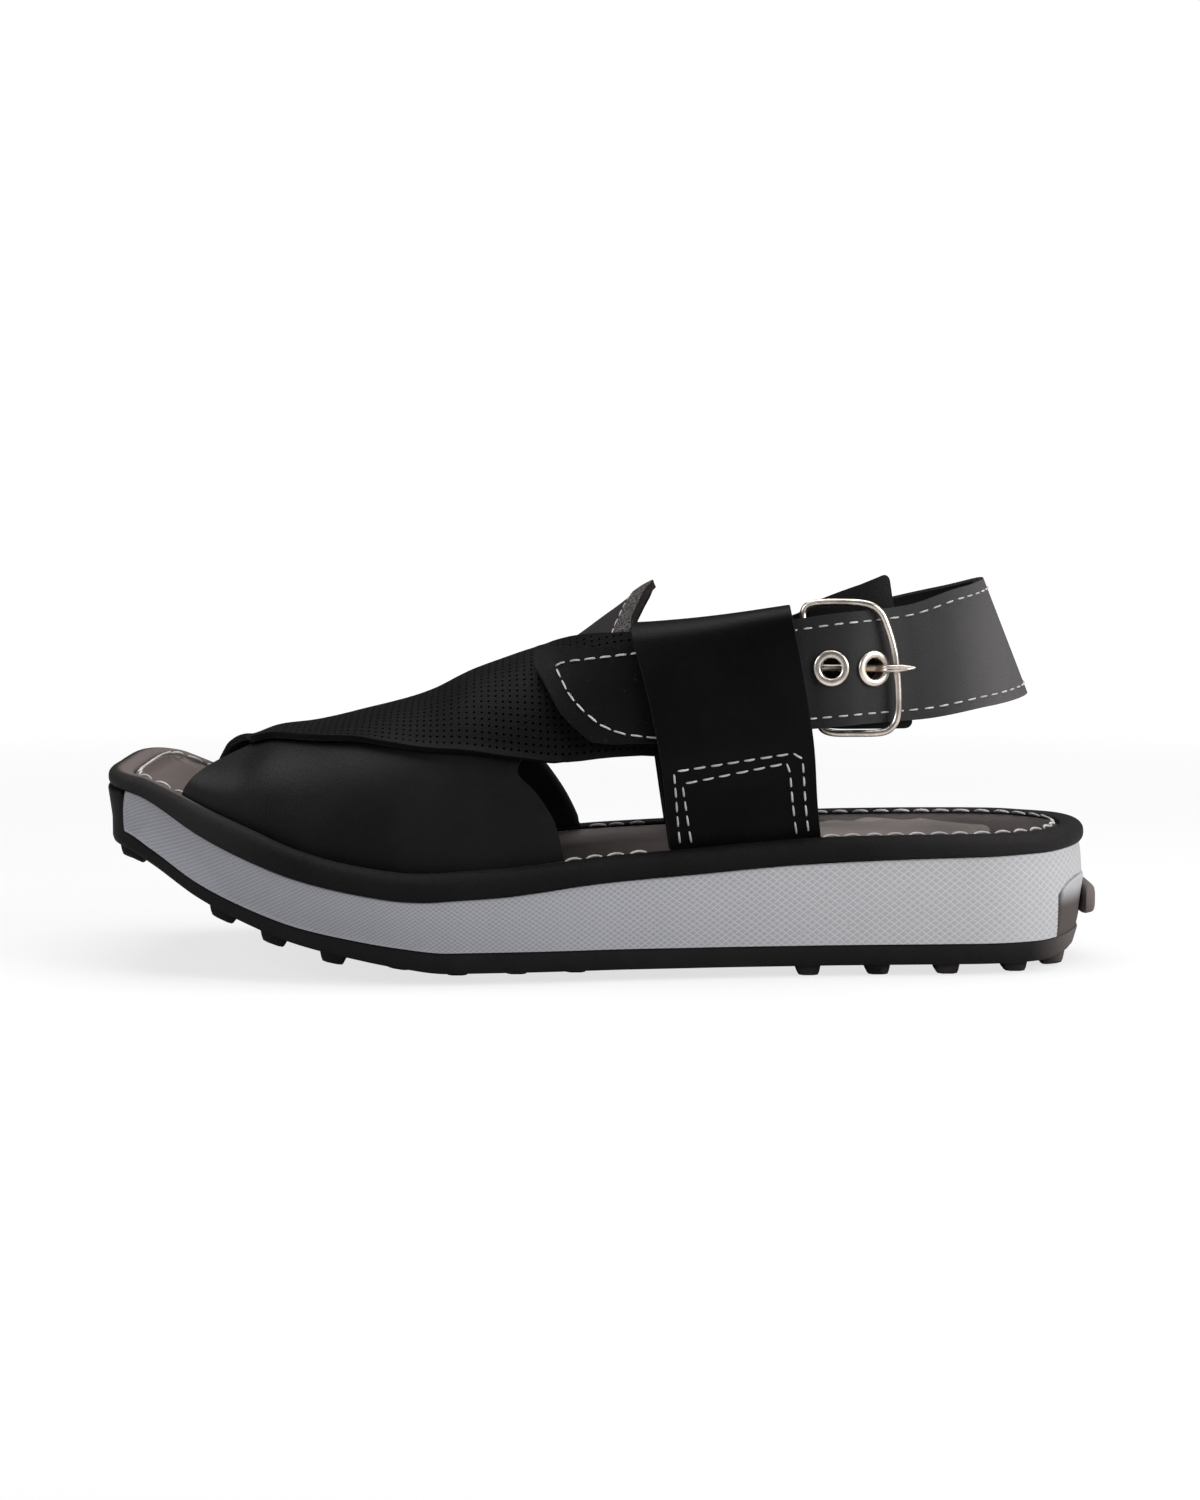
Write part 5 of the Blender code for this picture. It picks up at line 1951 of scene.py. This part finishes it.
def strapFace(at, t):
    return strapPoint(min(max(at, -1.0), 1.0), t, strap["thickness"])


def makeStrapStitches():
    bm = bmesh.new()
    inset = strapSeam["inset"]
    for side in (0, 1):
        spots = []
        for i in range(strapSeam["steps"] + 1):
            at = blend(strapSeam["from"], strapSeam["to"], i / strapSeam["steps"])
            low, high = strapLevel(at)
            spots.append((at, (high - low - inset if side else inset) / (high - low)))
        stitchLine(bm, surfacePath(strapFace, spots, 0.0001), **stitches["strapEdge"])
    stitchLine(bm, surfacePath(strapFace, freeEndSpots(), 0.0001), **stitches["freeEnd"])
    keepPiece("strapStitches", bm, [thread], sharp=80)


# Two boxes of stitches on each loop, and the stitches of the free end: x and height
boxes = (
    (
        (0.0210, 0.0375),
        (0.0184, 0.0590),
        (0.0190, 0.0598),
        (0.0518, 0.0646),
        (0.0544, 0.0634),
        (0.0577, 0.0403),
    ),
    (
        (0.0243, 0.0375),
        (0.0209, 0.0556),
        (0.0214, 0.0563),
        (0.0500, 0.0618),
        (0.0509, 0.0612),
        (0.0543, 0.0398),
    ),
)
freeEndStitches = (
    (0.0200, 0.0932),
    (0.0096, 0.0919),
    (-0.0128, 0.0888),
    (-0.0142, 0.0878),
    (-0.0100, 0.0798),
    (-0.0058, 0.0756),
    (-0.0016, 0.0722),
    (0.0040, 0.0697),
    (0.0135, 0.0685),
    (0.0200, 0.0682),
)


def alongRoute(corners, step=0.0005):
    route = []
    for before, after in zip(corners, corners[1:]):
        start, end = Vector(before), Vector(after)
        count = max(1, round((end - start).length / step))
        route += [start.lerp(end, i / count) for i in range(count)]
    return route + [Vector(corners[-1])]


def freeEndSpots():                      # walks over the strap until each point's x and height are met
    spots = []
    at = 0.7
    height = strap["height"]
    for x, z in alongRoute(freeEndStitches):
        for _ in range(12):
            low, high = strapLevel(at)
            point = strapPoint(at, (height - low) / (high - low), strap["thickness"])
            at += 0.7 * (point.x - x) / strap["outerReach"]
            height += 0.7 * (z - point.z)
        low, high = strapLevel(at)
        spots.append((at, (height - low) / (high - low)))
    return spots


def loopStitches(name, side):
    bm = bmesh.new()
    surface = loopSurface(side)
    lift = loops["thickness"] / 2 + 0.0001
    drop = loops["medialDrop"] if side > 0 else 0.0
    for corners in boxes:
        spots = []
        for x, z in alongRoute(corners):
            bottom = footbedEdge(shareAt(x)) + sole["gap"]
            u = 0.5
            for _ in range(3):
                top = loops["top"] + loops["rise"] * (u - 0.5) - drop
                t = (z - bottom) / (top - bottom)
                u = (x - loops["front"] - loops["lean"] * (0.5 - t)) / loops["width"]
            spots.append((u, max(t, 0.004) / loops["turnFrom"] * loops["faceShare"]))
        stitchLine(bm, surfacePath(surface, spots, lift), **stitches["loop"])
    keepPiece(name, bm, [thread], sharp=80)


# Binding along the rear edge of the peak, and the stitches in front of it
peak = {
    "from": 0.318,
    "to": 0.735,
    "width": 0.0052,
    "thickness": 0.0006,
    "overhang": 0.0001,
    "stitchesOff": 0.0007,
}


def peakPoint(girth, behind, off):
    share = rearOf(girth) + behind / sole["length"]
    return bandPoint(share, girth, bands["thickness"] + off)


def makePeakBinding():
    bm = bmesh.new()

    def place(u, v):
        behind = blend(-peak["width"], peak["overhang"], v)
        return peakPoint(blend(peak["from"], peak["to"], u), behind, peak["thickness"])

    addGrid(bm, 110, 10, place)
    sheet = {"inside": footLine, "thickness": peak["thickness"] + 0.0002, "edge": 0.00015}
    keepPiece("peakBinding", bm, [bindingFelt, rawEdge], (), sheet)


def makePeakStitches():
    bm = bmesh.new()
    steps = 160
    girths = [blend(peak["from"], peak["to"], i / steps) for i in range(steps + 1)]

    def pointAt(girth, ahead):
        return peakPoint(girth, -peak["width"] - peak["stitchesOff"] - ahead, 0.0)

    path = surfacePath(pointAt, [(girth, 0.0) for girth in girths], 0.0001)
    stitchLine(bm, path, **stitches["peak"])
    keepPiece("peakStitches", bm, [thread], sharp=80)


makeFootbedStitches()
makeStrapStitches()
loopStitches("outerLoopStitches", -1)
loopStitches("innerLoopStitches", 1)
makePeakBinding()
makePeakStitches()
print("stitches made")

# Floor, light and camera
stage = {
    "floorColour": (0.62, 0.62, 0.63, 1),
    "floorGlow": 0.68,
    "farGlow": 1.06,
    "world": 0.10,
    "worldSeen": 1.05,
}
softboxes = {
    "topSoftbox": {"spot": (0.05, 0.12, 1.05), "aim": (0, 0, 0.05), "size": (1.1, 0.8), "power": 12.0},
    "rightSoftbox": {"spot": (0.70, -0.42, 0.44), "aim": (0.03, 0, 0.05), "size": (0.5, 0.5), "power": 7.5},
    "leftSoftbox": {"spot": (-0.70, -0.35, 0.40), "aim": (-0.05, 0, 0.05), "size": (0.4, 0.4), "power": 3.3},
}
view = {"spot": (-0.00145, -0.84565, 0.1469), "lookDown": 5.8, "lens": 86.63}


def makeFloor():                         # pale, and seen by the camera as fading into white
    bm = bmesh.new()
    bmesh.ops.create_grid(bm, x_segments=1, y_segments=1, size=6)
    floor = addObject("floor", takeMesh("floor", bm))
    look = Look("paleFloor", Base_Color=stage["floorColour"], Roughness=0.9, Specular_IOR_Level=0.1)
    glow = look.node("ShaderNodeEmission", None, {"Color": (1, 1, 1, 1), "Strength": stage["farGlow"]})
    away = look.node("ShaderNodeVectorMath", {"operation": "LENGTH"}, {0: look.place}, "Value")
    glowing = blend(stage["floorGlow"], 1, away.between(0.30, 1.0))
    seen = look.node("ShaderNodeLightPath") * glowing
    lit = Wire(look, look.shader.outputs[0])
    mixed = look.node("ShaderNodeMixShader", None, {0: seen, 1: lit, 2: glow})
    look.tree.links.new(mixed.socket, look.tree.nodes["Material Output"].inputs["Surface"])
    floor.data.materials.append(look.material)


def makeWorld():
    world = bpy.data.worlds.new("studio")
    world.use_nodes = True
    bpy.context.scene.world = world
    tree = world.node_tree
    back = tree.nodes["Background"]
    back.inputs["Color"].default_value = (1, 1, 1, 1)
    seen = tree.nodes.new("ShaderNodeLightPath")
    level = tree.nodes.new("ShaderNodeMapRange")
    level.inputs["To Min"].default_value = stage["world"]
    level.inputs["To Max"].default_value = stage["worldSeen"]
    tree.links.new(seen.outputs["Is Camera Ray"], level.inputs["Value"])
    tree.links.new(level.outputs[0], back.inputs["Strength"])


def addSoftbox(name, spot, aim, size, power):
    lamp = bpy.data.lights.new(name, "AREA")
    lamp.shape = "RECTANGLE"
    lamp.size, lamp.size_y = size
    lamp.energy = power
    piece = addObject(name, lamp)
    piece.location = spot
    piece.rotation_euler = (Vector(aim) - Vector(spot)).to_track_quat("-Z", "Y").to_euler()


def makeCamera():
    camera = bpy.data.cameras.new("camera")
    camera.sensor_fit = "HORIZONTAL"
    camera.sensor_width = 36
    camera.lens = view["lens"]
    camera.clip_start = 0.05
    piece = addObject("camera", camera)
    piece.location = view["spot"]
    piece.rotation_euler = (math.radians(90 - view["lookDown"]), 0, 0)
    bpy.context.scene.camera = piece


makeFloor()
makeWorld()
for name, values in softboxes.items():
    addSoftbox(name, **values)
makeCamera()
bpy.context.scene.view_settings.view_transform = "Standard"
print("stage made")
